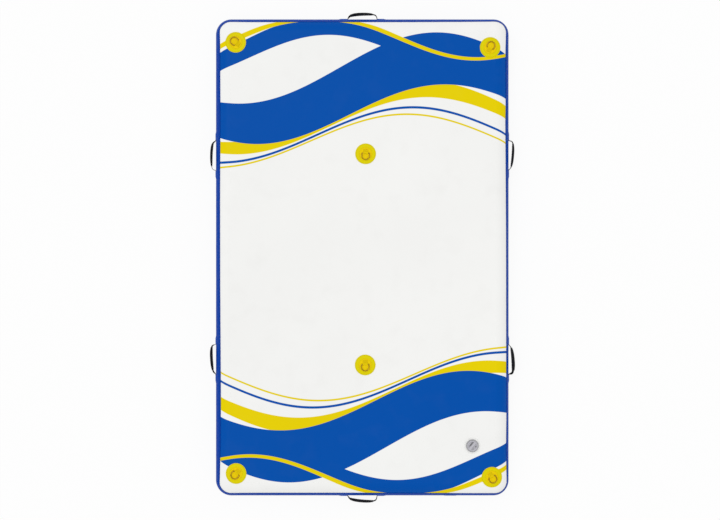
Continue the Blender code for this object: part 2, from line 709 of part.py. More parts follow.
def build_rings(material):
    """Six D-rings, each held by its bar in the loop of the cover on a round patch."""
    cover = ring_cover_mesh()
    ring = ring_curve()
    for name, x, y, heading in ring_places():
        disc = draped_disc_mesh(x, y, RING_PATCH_RADIUS, RING_PATCH_GAP)
        patch = add_object(f"ring_patch_{name}", disc, material["ring_patch"], placed(x, y, 0))
        add_sheet_thickness(patch, RING_PATCH_SHEET, outwards=True)
        setback = Matrix.Translation((0, -RING_BAR_SETBACK, 0))
        pivot = add_pivot(f"ring pivot {name}", placed(x, y, RING_Z, heading - 90) @ setback)
        add_object(f"ring_cover_{name}", cover, material["ring_cover"], parent=pivot)
        add_object(f"d_ring_{name}", ring, material["d_ring"], parent=pivot)


def strap_path(share):
    """Where the webbing runs, from one anchor (share -1) to the other (share 1), as (out, along)."""
    level_half = GRIP_LENGTH / 2 + STRAP_LEVEL_PAST_GRIP
    level_share = 0.2
    reach = HANDLE_REACH - GRIP_THICKNESS / 2 - HINGE_STANDOFF
    if abs(share) <= level_share:
        return reach, level_half * share / level_share
    down = (abs(share) - level_share) / (1 - level_share)
    along = level_half + (HANDLE_SPAN / 2 - level_half) * down
    return reach * (1 + math.cos(math.pi * down)) / 2, math.copysign(along, share)


def strap_mesh():
    """The free webbing, narrowed to a neck where it folds at each anchor; origin on the fold line."""
    bm = bmesh.new()
    bmesh.ops.create_grid(bm, x_segments=STRAP_STEPS, y_segments=1, size=1.0)
    for vert in bm.verts:
        out, along = strap_path(vert.co.x)
        half_height = min(WEBBING_WIDTH / 2, STRAP_NECK / 2 + STRAP_NECK_SLOPE * out)
        vert.co = (out, along, math.copysign(half_height, vert.co.y))
    return to_mesh("strap", bm)


def grip_curve():
    """The padded grip's section, a flat oval with a slot for the webbing, stretched along the grip."""
    radius = GRIP_THICKNESS / 2
    straight = GRIP_HEIGHT / 2 - radius
    oval = []
    for side in (1, -1):
        for index in range(7):
            angle = math.pi * index / 6
            oval.append((side * radius * math.cos(angle), side * (straight + radius * math.sin(angle))))
    slot_x = WEBBING_SHEET / 2 + GRIP_CLEARANCE
    slot_y = WEBBING_WIDTH / 2 + GRIP_CLEARANCE
    slot = [(slot_x, slot_y), (-slot_x, slot_y), (-slot_x, -slot_y), (slot_x, -slot_y)]
    curve = bpy.data.curves.new("grip", "CURVE")
    curve.dimensions = "2D"
    curve.fill_mode = "BOTH"
    curve.extrude = GRIP_LENGTH / 2
    for outline in (oval, slot):
        spline = curve.splines.new("POLY")
        spline.points.add(len(outline) - 1)
        spline.use_cyclic_u = True
        for point, (x, y) in zip(spline.points, outline):
            point.co = (x, y, 0.0, 1.0)
    return curve


def anchor_mesh():
    """Patch that holds one end of the webbing on the wall, with rounded corners."""
    mesh = arc_sheet("anchor", ANCHOR_LENGTH, ANCHOR_ANGLE, 5)
    bm = bmesh.new()
    bm.from_mesh(mesh)
    corners = [vert for vert in bm.verts if len(vert.link_edges) == 2]
    bmesh.ops.bevel(
        bm, geom=corners, offset=ANCHOR_CORNER_RADIUS, segments=3, profile=0.5, affect="VERTICES"
    )
    return to_mesh("anchor", bm)


def build_handles(material):
    """Six handles: a padded grip on a loop of webbing, and a patch over each of its ends."""
    strap = strap_mesh()
    grip = grip_curve()
    anchor = anchor_mesh()
    anchor_along = HANDLE_SPAN / 2 + ANCHOR_CLEARANCE + ANCHOR_LENGTH / 2
    grip_out = HANDLE_REACH - GRIP_THICKNESS / 2 - HINGE_STANDOFF
    upright = Matrix.Rotation(math.radians(90), 4, "X")
    for name, facing, along in HANDLE_PLACES:
        place = wall_place(facing, along, WALL_RADIUS + HINGE_STANDOFF)
        pivot = add_pivot(f"handle pivot {name}", place)
        webbing = add_object(f"handle_strap_{name}", strap, material["handle_strap"], parent=pivot)
        sheet = webbing.modifiers.new("sheet", "SOLIDIFY")
        sheet.thickness = WEBBING_SHEET
        sheet.offset = 0.0
        sheet.use_even_offset = True
        grip_place = Matrix.Translation((grip_out, 0, 0)) @ upright
        add_object(f"handle_grip_{name}", grip, material["handle_grip"], grip_place, pivot)
        for side, label in ((-1, "a"), (1, "b")):
            spot = wall_place(facing, along + side * anchor_along, 0.0)
            patch = add_object(f"handle_anchor_{name}_{label}", anchor, material["handle_anchor"], spot)
            add_sheet_thickness(patch, ANCHOR_SHEET, outwards=True)


def build_materials():
    white = (0.86, 0.86, 0.85)
    blue = (0.03, 0.09, 0.40)
    yellow = (0.80, 0.64, 0.0)
    black = (0.01, 0.01, 0.012)
    gray = (0.36, 0.36, 0.38)
    steel = (0.62, 0.62, 0.60)
    looks = {
        "top_skin": (white, 0.4, 0.0),
        "bottom_skin": (white, 0.45, 0.0),
        "side_wall": (blue, 0.4, 0.0),
        "inner_wall_strip": (white, 0.5, 0.0),
        "wall_joint_patch": (blue, 0.4, 0.0),
        "drop_stitch_core": ((0.70, 0.70, 0.66), 0.9, 0.0),
        "valve_patch": (white, 0.4, 0.0),
        "valve_gasket": (black, 0.7, 0.0),
        "valve_body": ((0.27, 0.27, 0.28), 0.4, 0.0),
        "valve_guide": (gray, 0.45, 0.0),
        "valve_nut": (gray, 0.45, 0.0),
        "valve_stem": (white, 0.45, 0.0),
        "valve_seal": (black, 0.7, 0.0),
        "valve_button": (gray, 0.45, 0.0),
        "valve_spring": (steel, 0.3, 1.0),
        "valve_cap": (gray, 0.4, 0.0),
        "valve_cap_seal": (black, 0.7, 0.0),
        "ring_patch": (yellow, 0.4, 0.0),
        "ring_cover": (yellow, 0.45, 0.0),
        "d_ring": (steel, 0.2, 1.0),
        "handle_strap": (black, 0.8, 0.0),
        "handle_grip": (black, 0.75, 0.0),
        "handle_anchor": (blue, 0.4, 0.0),
    }
    return {name: make_material(name, *look) for name, look in looks.items()}


def main():
    for old in list(bpy.data.objects):
        bpy.data.objects.remove(old, do_unlink=True)
    for name in ("inflatable_floating_deck", "cutters"):
        bpy.context.scene.collection.children.link(bpy.data.collections.new(name))
    material = build_materials()
    hole_depth = VALVE_NECK_DEPTH
    hole = disc_mesh("valve hole", VALVE_HOLE_RADIUS, 2 * hole_depth, TURNED_STEPS)
    hole_place = placed(VALVE_X, VALVE_Y, THICKNESS - hole_depth)
    valve_hole = add_object("valve hole", hole, None, hole_place)
    build_skins(material, valve_hole)
    build_walls(material)
    build_core(material, valve_hole)
    build_valve(material)
    build_rings(material)
    build_handles(material)


main()
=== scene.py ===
"""The looks of an inflatable floating deck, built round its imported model.

X is the deck's width, Y its length with the front at +Y, and Z is up. Lengths are in metres.
"""
import math
from collections import namedtuple

import bmesh
import bpy
import numpy as np
from mathutils import Matrix, Vector, noise


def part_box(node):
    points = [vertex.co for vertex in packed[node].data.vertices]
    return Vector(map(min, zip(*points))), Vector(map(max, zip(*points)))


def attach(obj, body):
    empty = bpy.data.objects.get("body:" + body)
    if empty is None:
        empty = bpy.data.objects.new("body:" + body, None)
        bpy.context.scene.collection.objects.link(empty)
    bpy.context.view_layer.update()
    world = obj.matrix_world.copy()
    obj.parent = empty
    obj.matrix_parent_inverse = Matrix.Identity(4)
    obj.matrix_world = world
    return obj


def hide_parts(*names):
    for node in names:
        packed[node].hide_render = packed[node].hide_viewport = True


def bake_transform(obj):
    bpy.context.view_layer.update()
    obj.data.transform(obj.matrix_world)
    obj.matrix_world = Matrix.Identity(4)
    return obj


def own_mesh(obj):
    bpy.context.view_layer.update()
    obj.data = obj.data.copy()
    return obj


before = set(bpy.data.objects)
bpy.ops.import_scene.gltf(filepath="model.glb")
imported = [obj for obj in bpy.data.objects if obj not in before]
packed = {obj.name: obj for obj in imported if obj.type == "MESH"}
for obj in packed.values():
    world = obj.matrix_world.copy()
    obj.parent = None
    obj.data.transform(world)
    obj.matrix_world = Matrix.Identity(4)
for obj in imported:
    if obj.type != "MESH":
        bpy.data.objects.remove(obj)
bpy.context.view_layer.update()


# -----------------------------------------------------------------------------
# Camera
# It hangs straight above the deck, a little to the left of its middle, as the photograph was taken.
CAMERA_SPOT = (-0.25, 0.0, 7.075)

camera = bpy.data.objects.new("camera", bpy.data.cameras.new("camera"))
camera.location = CAMERA_SPOT
camera.data.lens = 68.2
camera.data.sensor_width = 36.0
camera.data.shift_x = 0.0646
camera.data.shift_y = -0.0036
bpy.context.scene.collection.objects.link(camera)
bpy.context.scene.camera = camera
bpy.context.scene.view_settings.view_transform = "Standard"


# -----------------------------------------------------------------------------
# Studio floor, sky and lamp
# A plain pale floor that reads white to the camera but still takes the deck's soft shadow, a white
# sky all round, and one broad soft sun high at the front left.
FLOOR_REACH = 30.0
FLOOR_DROP = 0.0015
FLOOR_GRAY = (0.86, 0.86, 0.86, 1.0)
FLOOR_GLOW = 0.90
STUDIO_WHITE = (1.0, 1.0, 1.0, 1.0)
SKY_STRENGTH = 0.80
SUN_STRENGTH = 0.75
SUN_SOFTNESS = math.radians(35)
SUN_SPOT = Vector((-0.30, 0.20, 1.0))


def add_node(tree, kind, inputs=(), **settings):
    """A shader node with its settings; an input is a plain value or the shade that feeds it."""
    node = tree.nodes.new("ShaderNode" + kind)
    for key, value in settings.items():
        setattr(node, key, value)
    for socket, value in dict(inputs).items():
        if isinstance(value, Shade):
            tree.links.new(value.socket, node.inputs[socket])
        else:
            node.inputs[socket].default_value = value
    return node


class Shade:
    """What one socket puts out. Sums with it add Math nodes to its tree."""

    def __init__(self, socket):
        self.socket = socket
        self.tree = socket.id_data

    def __abs__(self):
        return maths("ABSOLUTE", self)


def shade(tree, kind, inputs=(), output=0, **settings):
    return Shade(add_node(tree, kind, inputs, **settings).outputs[output])


def maths(operation, *values, clamp=False):
    tree = next(value.tree for value in values if isinstance(value, Shade))
    return shade(tree, "Math", enumerate(values), operation=operation, use_clamp=clamp)


sums = {"add": "ADD", "sub": "SUBTRACT", "mul": "MULTIPLY", "truediv": "DIVIDE", "pow": "POWER"}
for sign, work in sums.items():
    setattr(Shade, f"__{sign}__", lambda one, other, work=work: maths(work, one, other))
    setattr(Shade, f"__r{sign}__", lambda one, other, work=work: maths(work, other, one))


def bare_tree(owner):
    """The emptied node tree of a material or a world, and the kinds of ray that see it."""
    owner.use_nodes = True
    owner.node_tree.nodes.clear()
    return owner.node_tree, add_node(owner.node_tree, "LightPath").outputs


floor_mesh = bpy.data.meshes.new("floor")
signs = ((-1, -1), (1, -1), (1, 1), (-1, 1))
corners = [(x * FLOOR_REACH, y * FLOOR_REACH, -FLOOR_DROP) for x, y in signs]
floor_mesh.from_pydata(corners, [], [(0, 1, 2, 3)])
floor = bpy.data.objects.new("floor", floor_mesh)
bpy.context.scene.collection.objects.link(floor)

floor_paint = bpy.data.materials.new("pale floor")
tree, seen = bare_tree(floor_paint)
straight = maths("MAXIMUM", Shade(seen["Is Camera Ray"]), Shade(seen["Is Glossy Ray"]))
straight = maths("MAXIMUM", straight, Shade(seen["Is Transmission Ray"]))
matt = shade(tree, "BsdfDiffuse", {"Color": FLOOR_GRAY})
white = shade(tree, "Emission", {"Color": STUDIO_WHITE, "Strength": 1.0})
mixed = shade(tree, "MixShader", {0: straight * FLOOR_GLOW, 1: matt, 2: white})
add_node(tree, "OutputMaterial", {"Surface": mixed})
floor_mesh.materials.append(floor_paint)

world = bpy.data.worlds.new("white studio")
bpy.context.scene.world = world
tree, seen = bare_tree(world)
sky = shade(tree, "Background", {"Color": STUDIO_WHITE, "Strength": SKY_STRENGTH})
shown = shade(tree, "Background", {"Color": STUDIO_WHITE, "Strength": 1.0})
mixed = shade(tree, "MixShader", {0: Shade(seen["Is Camera Ray"]), 1: sky, 2: shown})
add_node(tree, "OutputWorld", {"Surface": mixed})

sun = bpy.data.objects.new("soft sun", bpy.data.lights.new("soft sun", "SUN"))
sun.data.energy = SUN_STRENGTH
sun.data.angle = SUN_SOFTNESS
sun.rotation_euler = SUN_SPOT.to_track_quat("Z", "Y").to_euler()
bpy.context.scene.collection.objects.link(sun)


# -----------------------------------------------------------------------------
# Top skin
# One sheet of coated polyester, printed on its outside. Its rim turns down over the rounded edge and
# is welded under the wall band, and a round hole is cut in it for the valve.
LENGTH = 2.44
WIDTH = 1.50
THICKNESS = 0.15
SKIN_SHEET = 0.0012
CORNER_RADIUS = 0.0030
EDGE_RADIUS = THICKNESS / 2
MIDDLE = THICKNESS / 2
WALL_RADIUS = EDGE_RADIUS + 0.0015
FLAT_HALF_X = WIDTH / 2 - WALL_RADIUS
FLAT_HALF_Y = LENGTH / 2 - WALL_RADIUS
SWELL_DEPTH = 0.0004
SHOULDER = (0.062, 0.032)
SKIN_RIM = 25.0
SKIN_RINGS = 16
VALVE_SPOT = Vector((0.556, -0.956))
VALVE_HOLE = 0.0225
HOLE_SIDES = 48
WHITE = (0.875, 0.875, 0.860, 1.0)
PRINT_BLUE = (0.0, 0.077, 0.392, 1.0)
PRINT_YELLOW = (0.775, 0.612, 0.0, 1.0)
PRINT_EDGE = 0.0008
DUST = (0.55, 0.53, 0.50, 1.0)
SKIN_WEAVE = 0.0016
THREAD_WANDER = 0.0016
DIMPLE_PITCH = 0.0085

# The print of one end: ink, level across the deck, swing, wave length, phase, half width, swell.
PRINT_WAVES = (
    (PRINT_YELLOW, 0.705, 0.150, 1.95, 0.55, 0.030, 0.45),
    (PRINT_BLUE, 0.845, 0.165, 1.95, 0.30, 0.098, 0.40),
    (PRINT_BLUE, 1.060, 0.120, 1.60, 2.30, 0.034, 0.55),
    (PRINT_YELLOW, 1.118, 0.110, 1.60, 2.45, 0.011, 0.30),
    (PRINT_BLUE, 0.622, 0.140, 1.95, 0.75, 0.0060, 0.00),
    (PRINT_YELLOW, 0.592, 0.135, 1.95, 0.85, 0.0045, 0.00),
)

Spot = namedtuple("Spot", "point out run bend")


def ramp(value, start, end):
    """Goes from 0 at the start to 1 at the end, and no further."""
    return min(max((value - start) / (end - start), 0.0), 1.0)


def polar(angle, reach=1.0):
    return Vector((math.cos(angle), math.sin(angle))) * reach


def circle(radius, steps=72):
    return [polar(2 * math.pi * step / steps, radius) for step in range(steps)]


def rounded_border(length, width, radius, corner_steps=6, parts=(7, 7), edge=0.0):
    """A rounded rectangle's border, anticlockwise, and the way round it, an edge's width further out.

    Each spot has its point, its outward direction, the distance run and how deep in a corner it is.
    """
    spots = []
    run = 0.0
    bend = (radius + edge) * math.pi / 2
    signs = ((1, 1), (-1, 1), (-1, -1), (1, -1))
    centres = [Vector((x * (length / 2 - radius), y * (width / 2 - radius))) for x, y in signs]
    for quarter, centre in enumerate(centres):
        for step in range(corner_steps + 1):
            share = step / corner_steps
            out = polar(math.pi / 2 * (quarter + share))
            spots.append(Spot(centre + out * radius, out, run + bend * share, math.sin(math.pi * share)))
        run += bend
        start = spots[-1].point
        side = centres[(quarter + 1) % 4] - centre
        for part in range(1, parts[quarter % 2]):
            share = part / parts[quarter % 2]
            spots.append(Spot(start + side * share, out, run + side.length * share, 0.0))
        run += side.length
    return spots, run


def rounded_rectangle(*sizes, **steps):
    return [spot.point for spot in rounded_border(*sizes, **steps)[0]]


border, way_round = rounded_border(
    2 * FLAT_HALF_X, 2 * FLAT_HALF_Y, CORNER_RADIUS, corner_steps=14, parts=(38, 65), edge=EDGE_RADIUS
)


def swelling(point):
    """How far the inflated edge stands proud at a point: slow, slight waves below the shoulder."""
    rise = ramp(abs(point.z - MIDDLE), *SHOULDER)
    return SWELL_DEPTH * rise * (0.5 + 0.5 * noise.noise(point * 9.0))


def edge_spot(spot, radius, elevation, lift=0.0):
    """A point on the rounded edge, lifted where the sheet puckers."""
    away = Vector((*(spot.out * math.cos(elevation)), math.sin(elevation)))
    point = Vector((*spot.point, MIDDLE)) + away * radius
    return point + away * (swelling(point) + lift)


class Shell:
    """A mesh under way: rings of points, each joined to the one before, with their flat map."""

    def __init__(self, mapped=True):
        self.bm = bmesh.new()
        self.map = self.bm.loops.layers.uv.new("cloth") if mapped else None
        self.flat = {}
        self.rings = []

    def ring(self, points, flat=None, joined=True):
        """Adds a ring; points that fall together become one, and a plain map looks from above."""
        made = {}
        for point, at in zip(points, flat or points):
            if tuple(point) not in made:
                vert = made[tuple(point)] = self.bm.verts.new(point)
                self.flat[vert] = at[:2]
        self.rings.append([made[tuple(point)] for point in points])
        if joined and len(self.rings) > 1:
            self.join(-2, -1)

    def join(self, low, high):
        low, high = self.rings[low], self.rings[high]
        for step in range(len(low)):
            corners = (low[step - 1], low[step], high[step], high[step - 1])
            self.bm.faces.new(tuple(dict.fromkeys(corners)))

    def cap(self, ring):
        self.bm.faces.new(self.rings[ring])

    def edges(self):
        """The edges round the last ring."""
        ring = self.rings[-1]
        return [
            self.bm.edges.get(pair) or self.bm.edges.new(pair) for pair in zip([ring[-1]] + ring, ring)
        ]

    def fill(self, edges):
        bmesh.ops.triangle_fill(self.bm, use_beauty=True, edges=edges)

    def close(self, crease=40, wrap=(0.0, 0.0)):
        """The finished mesh. A map that wraps round is continued below nothing at its seam."""
        bmesh.ops.recalc_face_normals(self.bm, faces=self.bm.faces)
        for face in self.bm.faces if self.map else ():
            flat = [list(self.flat[loop.vert]) for loop in face.loops]
            least = [min(axis) for axis in zip(*flat)]
            for loop, spot in zip(face.loops, flat):
                for axis, turn in enumerate(wrap):
                    spot[axis] -= turn if turn and spot[axis] - least[axis] > turn / 2 else 0.0
                loop[self.map].uv = spot
        mesh = bpy.data.meshes.new("shell")
        self.bm.normal_update()
        self.bm.to_mesh(mesh)
        self.bm.free()
        mesh.shade_smooth()
        mesh.set_sharp_from_angle(angle=math.radians(crease))
        return mesh


def thickened(mesh, thickness, outwards):
    """A sheet's mesh with its thickness on one side, and crisp edges."""
    sheet = bpy.data.objects.new("sheet", mesh)
    bpy.context.scene.collection.objects.link(sheet)
    skin = sheet.modifiers.new("sheet", "SOLIDIFY")
    skin.thickness = thickness
    skin.offset = 1.0 if outwards else -1.0
    skin.use_even_offset = True
    solid = bpy.data.meshes.new_from_object(sheet.evaluated_get(bpy.context.evaluated_depsgraph_get()))
    bpy.data.objects.remove(sheet)
    bpy.data.meshes.remove(mesh)
    solid.set_sharp_from_angle(angle=math.radians(40))
    return solid


def skin_mesh(side, hole=False):
    """A skin from its rim over the shoulder to the flat panel, mapped as the flat sheet it was cut from."""
    shell = Shell()
    level = MIDDLE + side * EDGE_RADIUS
    for ring in range(SKIN_RINGS + 1):
        elevation = math.radians(SKIN_RIM + (90.0 - SKIN_RIM) * ring / SKIN_RINGS)
        points = [edge_spot(spot, EDGE_RADIUS, elevation) for spot in border]
        for point in points:
            point.z = MIDDLE + side * (point.z - MIDDLE)
        past = EDGE_RADIUS * (math.pi / 2 - elevation)
        shell.ring(points, [spot.point + spot.out * past for spot in border])
    for inset in (CORNER_RADIUS / 3, CORNER_RADIUS * 2 / 3):
        shell.ring([(*(spot.point - spot.out * inset), level) for spot in border])
    edges = shell.edges()
    if hole:
        for further in (0.0, 0.003, 0.006):
            rim = [VALVE_SPOT + point for point in circle(VALVE_HOLE + further, HOLE_SIDES)]
            shell.ring([(*point, level) for point in rim], joined=further > 0)
        edges += shell.edges()
    shell.fill(edges)
    return shell.close()


def add_piece(name, mesh, finish, body, slot, *nodes, place=None):
    """Puts a piece on its body, with its finish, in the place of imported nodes."""
    piece = bpy.data.objects.new(name, mesh)
    mesh.name = name
    mesh.materials.clear()
    mesh.materials.append(finish)
    bpy.context.scene.collection.objects.link(piece)
    if place is not None:
        piece.matrix_world = place
    if body is not None:
        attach(piece, body)
    if nodes:
        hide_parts(*nodes)
    return piece


def shader_group(name, *takes):
    """Builds a node group from its recipe, and returns the function that puts it in a material.

    The recipe takes the group's inputs and returns its outputs by name. Vector is a vector, and all
    the rest are numbers.
    """

    def build(recipe):
        group = bpy.data.node_groups.new(name, "ShaderNodeTree")
        for socket in takes:
            kind = "NodeSocketVector" if socket == "Vector" else "NodeSocketFloat"
            group.interface.new_socket(name=socket, in_out="INPUT", socket_type=kind)
        source = group.nodes.new("NodeGroupInput").outputs
        gives = recipe(*(Shade(source[socket]) for socket in takes))
        for socket in gives:
            group.interface.new_socket(name=socket, in_out="OUTPUT", socket_type="NodeSocketFloat")
        outcome = group.nodes.new("NodeGroupOutput").inputs
        for socket, value in gives.items():
            group.links.new(value.socket, outcome[socket])

        def put(*values):
            tree = values[0].tree
            outputs = add_node(tree, "Group", zip(takes, values), node_tree=group).outputs
            return [Shade(outputs[socket]) for socket in gives]

        return put

    return build


def sine(value):
    return maths("SINE", value)


def axes_of(vector):
    return [Shade(axis) for axis in add_node(vector.tree, "SeparateXYZ", {0: vector}).outputs]


def clouds(vector, scale, detail, output=0):
    return shade(vector.tree, "TexNoise", {"Vector": vector, "Scale": scale, "Detail": detail}, output)


def toned(value, colour):
    return shade(value.tree, "HueSaturation", {"Value": value, "Color": colour})


def mix_colour(mask, under, over):
    return shade(mask.tree, "Mix", {0: mask, 6: under, 7: over}, 2, data_type="RGBA")


# The plain weave of the base cloth, which shows faintly through the coating.
@shader_group("coated cloth", "Vector", "Thread Pitch")
def coated_cloth(vector, pitch):
    wander = clouds(vector, 45.0, 1.0, "Color")
    drawn = {0: wander, 1: (THREAD_WANDER,) * 3, 2: vector}
    drawn = shade(vector.tree, "VectorMath", drawn, operation="MULTIPLY_ADD")
    warp, weft = [sine((axis - THREAD_WANDER / 2) * (2 * math.pi / pitch)) for axis in axes_of(drawn)[:2]]
    thread = warp * weft * 0.5 + 0.5
    return {"Height": (clouds(vector, 700.0, 2.0) - 0.5) * 0.8 + thread, "Thread": thread}


# The rows in which the core's threads pull on the skin: a faint waffle.
@shader_group("thread dimples", "Vector", "Row Pitch")
def thread_dimples(vector, pitch):
    x, y, _ = axes_of(vector)
    pace = math.pi / pitch
    return {"Height": abs(sine(y * pace)) ** 0.6 + abs(sine(x * (pace * 1.6))) * 0.35}


# A slow change of tone over each sheet, and faint smudges where hands and feet rub.
@shader_group("handling marks", "Vector", "Size")
def handling_marks(vector, size):
    rubbed = {"Value": clouds(vector, 5.3 / size, 6.0), "From Min": 0.52, "From Max": 0.74}
    smudge = shade(vector.tree, "MapRange", rubbed)
    return {"Tone": clouds(vector, 1.0 / size, 3.0) * 2.0 - 1.0, "Smudge": smudge}


# A printed band that swings up and down across the sheet and swells along its way.
@shader_group(
    "printed wave", "Across", "Along", "Level", "Swing", "Wave Length", "Phase", "Half Width", "Swell"
)
def printed_wave(across, along, level, swing, length, phase, half_width, swell):
    turn = across * (2 * math.pi / length) + phase
    half = half_width * (sine(turn * 0.62 + 1.1) * swell + 1.0)
    off = abs(along - (level + sine(turn) * swing))
    return {"Mask": maths("ADD", (half - off) / PRINT_EDGE, 0.5, clamp=True)}


def wave_print(cloth, colour):
    """The waves of both ends; the rear ones are the front ones turned half round."""
    x, y, _ = axes_of(cloth)
    across, along = x * maths("SIGN", y), abs(y)
    ink = 0.0
    for hue, *shape in PRINT_WAVES:
        band, = printed_wave(across, along, *shape)
        colour = mix_colour(band, colour, hue)
        ink = maths("MAXIMUM", ink, band)
    return colour, ink


def new_finish(name):
    """A new material, and its surface's place on the piece."""
    material = bpy.data.materials.new(name)
    material.use_nodes = True
    return material, shade(material.node_tree, "TexCoord", output="Object")


def flat_map(material):
    return shade(material.node_tree, "UVMap", uv_map="cloth")


def set_finish(material, colour, roughness, height, gloss=0.5, sheen=0.0, nap=0.5, metallic=0.0):
    """Feeds the material's shader what varies over its surface, and sets the rest of it."""
    tree = material.node_tree
    shader = tree.nodes["Principled BSDF"].inputs
    normal = shade(tree, "Bump", {"Height": height, "Distance": 1.0, "Strength": 1.0})
    for socket, value in (("Base Color", colour), ("Roughness", roughness), ("Normal", normal)):
        tree.links.new(value.socket, shader[socket])
    even = {"Specular IOR Level": gloss, "Sheen Weight": sheen, "Sheen Roughness": nap, "Metallic": metallic}
    for socket, value in even.items():
        shader[socket].default_value = value
    return material


def coated_finish(name, colour, roughness, gloss=0.2, pitch=SKIN_WEAVE, relief=0.00005, pillow=0.0, marks=0.5,
                  dust=0.05, ink=None):
    """Coated cloth in one colour, or with a print."""
    material, place = new_finish(name)
    cloth = flat_map(material)
    weave, thread = coated_cloth(cloth, pitch)
    tone, smudge = handling_marks(place, marks)
    soiled = smudge * dust
    rough = smudge * 0.10 + thread * 0.04 + roughness
    height = weave * relief
    if pillow:
        dimples, = thread_dimples(cloth, DIMPLE_PITCH)
        height = height + clouds(cloth, 14.0, 1.0) * pillow + dimples * 0.00007
    if ink is not None:
        colour, printed = ink(cloth, colour)
        soiled = soiled * (1.0 - printed * 0.9)
        rough = rough - printed * 0.05
        height = height + printed * 0.00002
    # The colour is a little lighter on the weave's raised crossings than in its hollows: painted light and
    # shade of the weave, over a slow random change of tone.
    colour = toned(tone * 0.03 + thread * 0.02 + 0.99, colour)
    return set_finish(material, mix_colour(soiled, colour, DUST), rough, height, gloss)


top_finish = coated_finish("printed top skin", WHITE, 0.40, gloss=0.04, pillow=0.0006, ink=wave_print)
top_mesh = thickened(skin_mesh(1, hole=True), SKIN_SHEET, outwards=False)
add_piece("printed_top_sheet", top_mesh, top_finish, "deck", "top_skin", "top_skin")


# -----------------------------------------------------------------------------
# Bottom skin
# The same coated cloth without a print. It rests on the ground or the water, so it is a little
# rougher and carries more marks.
BOTTOM_WHITE = (0.80, 0.80, 0.785, 1.0)

bottom_finish = coated_finish("plain bottom skin", BOTTOM_WHITE, 0.48, pillow=0.0006, marks=0.2)
bottom_mesh = thickened(skin_mesh(-1), SKIN_SHEET, outwards=False)
add_piece("bottom_sheet", bottom_mesh, bottom_finish, "deck", "bottom_skin", "bottom_skin")


# -----------------------------------------------------------------------------
# Wall band, the patch over its joint, and the strip behind it
# A blue coated band goes all round and covers the rims of both skins, welded down with a knurled
# roller. Its two ends meet in the rear wall under a patch, and a white strip behind it ties the
# skins together from inside.
WALL_SHEET = 0.0012
WALL_RIM = 41.0
WALL_BLUE = (0.0, 0.047, 0.352, 1.0)
BAND_RINGS = 14
PUCKER_PITCH = 0.0196
PUCKER_DEPTH = 0.0008
STRIP_RIM = 48.0
STRIP_SHEET = 0.0010
STRIP_RADIUS = EDGE_RADIUS - SKIN_SHEET - 0.0003
WELD_WIDTH = 0.010
WALL_ARC = WALL_RADIUS * math.radians(WALL_RIM)
JOINT_ALONG = 0.45
JOINT_SIZE = (0.060, 2 * WALL_RADIUS * math.radians(38.0))
JOINT_TOP = 0.0015
LAID_UNDER = -0.0001

# How many degrees higher the upper rim is laid by hand: along each corner and side in turn, from the
# front right corner anticlockwise, as (share of its length, degrees).
RIM_RISES = (
    ((0.0, -1.0), (0.5, -3.8), (1.0, -2.0)),
    ((0.12, 0.0), (0.35, 1.8), (0.93, 1.8), (1.0, 0.3)),
    ((0.7, 0.9), (1.0, 3.7)),
    ((0.02, 5.2), (0.18, 7.3), (0.36, 5.0), (0.56, 5.8), (0.79, 9.5), (0.90, 9.0), (0.99, 4.0)),
    ((0.3, 0.5), (1.0, -0.3)),
    ((0.1, 1.2), (0.65, 1.5), (0.91, -2.0)),
    ((0.0, -1.5), (0.5, -4.8), (1.0, -6.2)),
    ((0.07, -1.0), (0.18, -5.4), (0.21, -3.0), (0.53, -2.0), (0.64, 0.0), (0.80, 3.5), (0.84, 1.3),
     (0.96, 2.5), (1.0, -1.0)),
)


def rim_lines():
    """The run round the edge and the rise there, of every point of the table."""
    corner = (CORNER_RADIUS + EDGE_RADIUS) * math.pi / 2
    sides = (corner, 2 * (FLAT_HALF_X - CORNER_RADIUS), corner, 2 * (FLAT_HALF_Y - CORNER_RADIUS)) * 2
    starts = [sum(sides[:index]) for index in range(len(sides))]
    lines = [
        (start + share * length, rise)
        for stretch, start, length in zip(RIM_RISES, starts, sides) for share, rise in stretch
    ]
    return zip(*lines)


def band_mesh(radius, rim, puckered=False):
    """A band round the whole edge, mapped as the long strip that it was cut from."""
    runs, rises = rim_lines()
    shell = Shell()
    for ring in range(BAND_RINGS + 1):
        height = 2 * ring / BAND_RINGS - 1
        points = []
        for spot in border:
            wider = np.interp(spot.run, runs, rises) if puckered and height > 0 else 0.0
            fold = max(math.sin(2 * math.pi * spot.run / PUCKER_PITCH), 0.0) if puckered else 0.0
            lift = PUCKER_DEPTH * fold * spot.bend * abs(height) ** 6
            points.append(edge_spot(spot, radius, math.radians(rim + wider) * height, lift))
        arc = radius * math.radians(rim) * height
        shell.ring(points, [(spot.run, arc) for spot in border])
    return shell.close(wrap=(way_round, 0.0))


def turned_about(facing):
    return Matrix.Rotation(math.radians(facing), 4, "Z")


def wall_side(facing):
    """The turn from the right wall to another wall, and how far out that wall's fold lies."""
    return turned_about(facing), FLAT_HALF_X if facing in (0.0, 180.0) else FLAT_HALF_Y


def on_wall(facing, along):
    """Lays a flat point (run along the wall, run up the wall, height off it) on one of the walls."""
    turn, flat_half = wall_side(facing)

    def lay(run, rise, height):
        out, up = polar(rise / WALL_RADIUS, WALL_RADIUS + height)
        return turn @ Vector((flat_half + out, along + run, MIDDLE + up))

    return lay


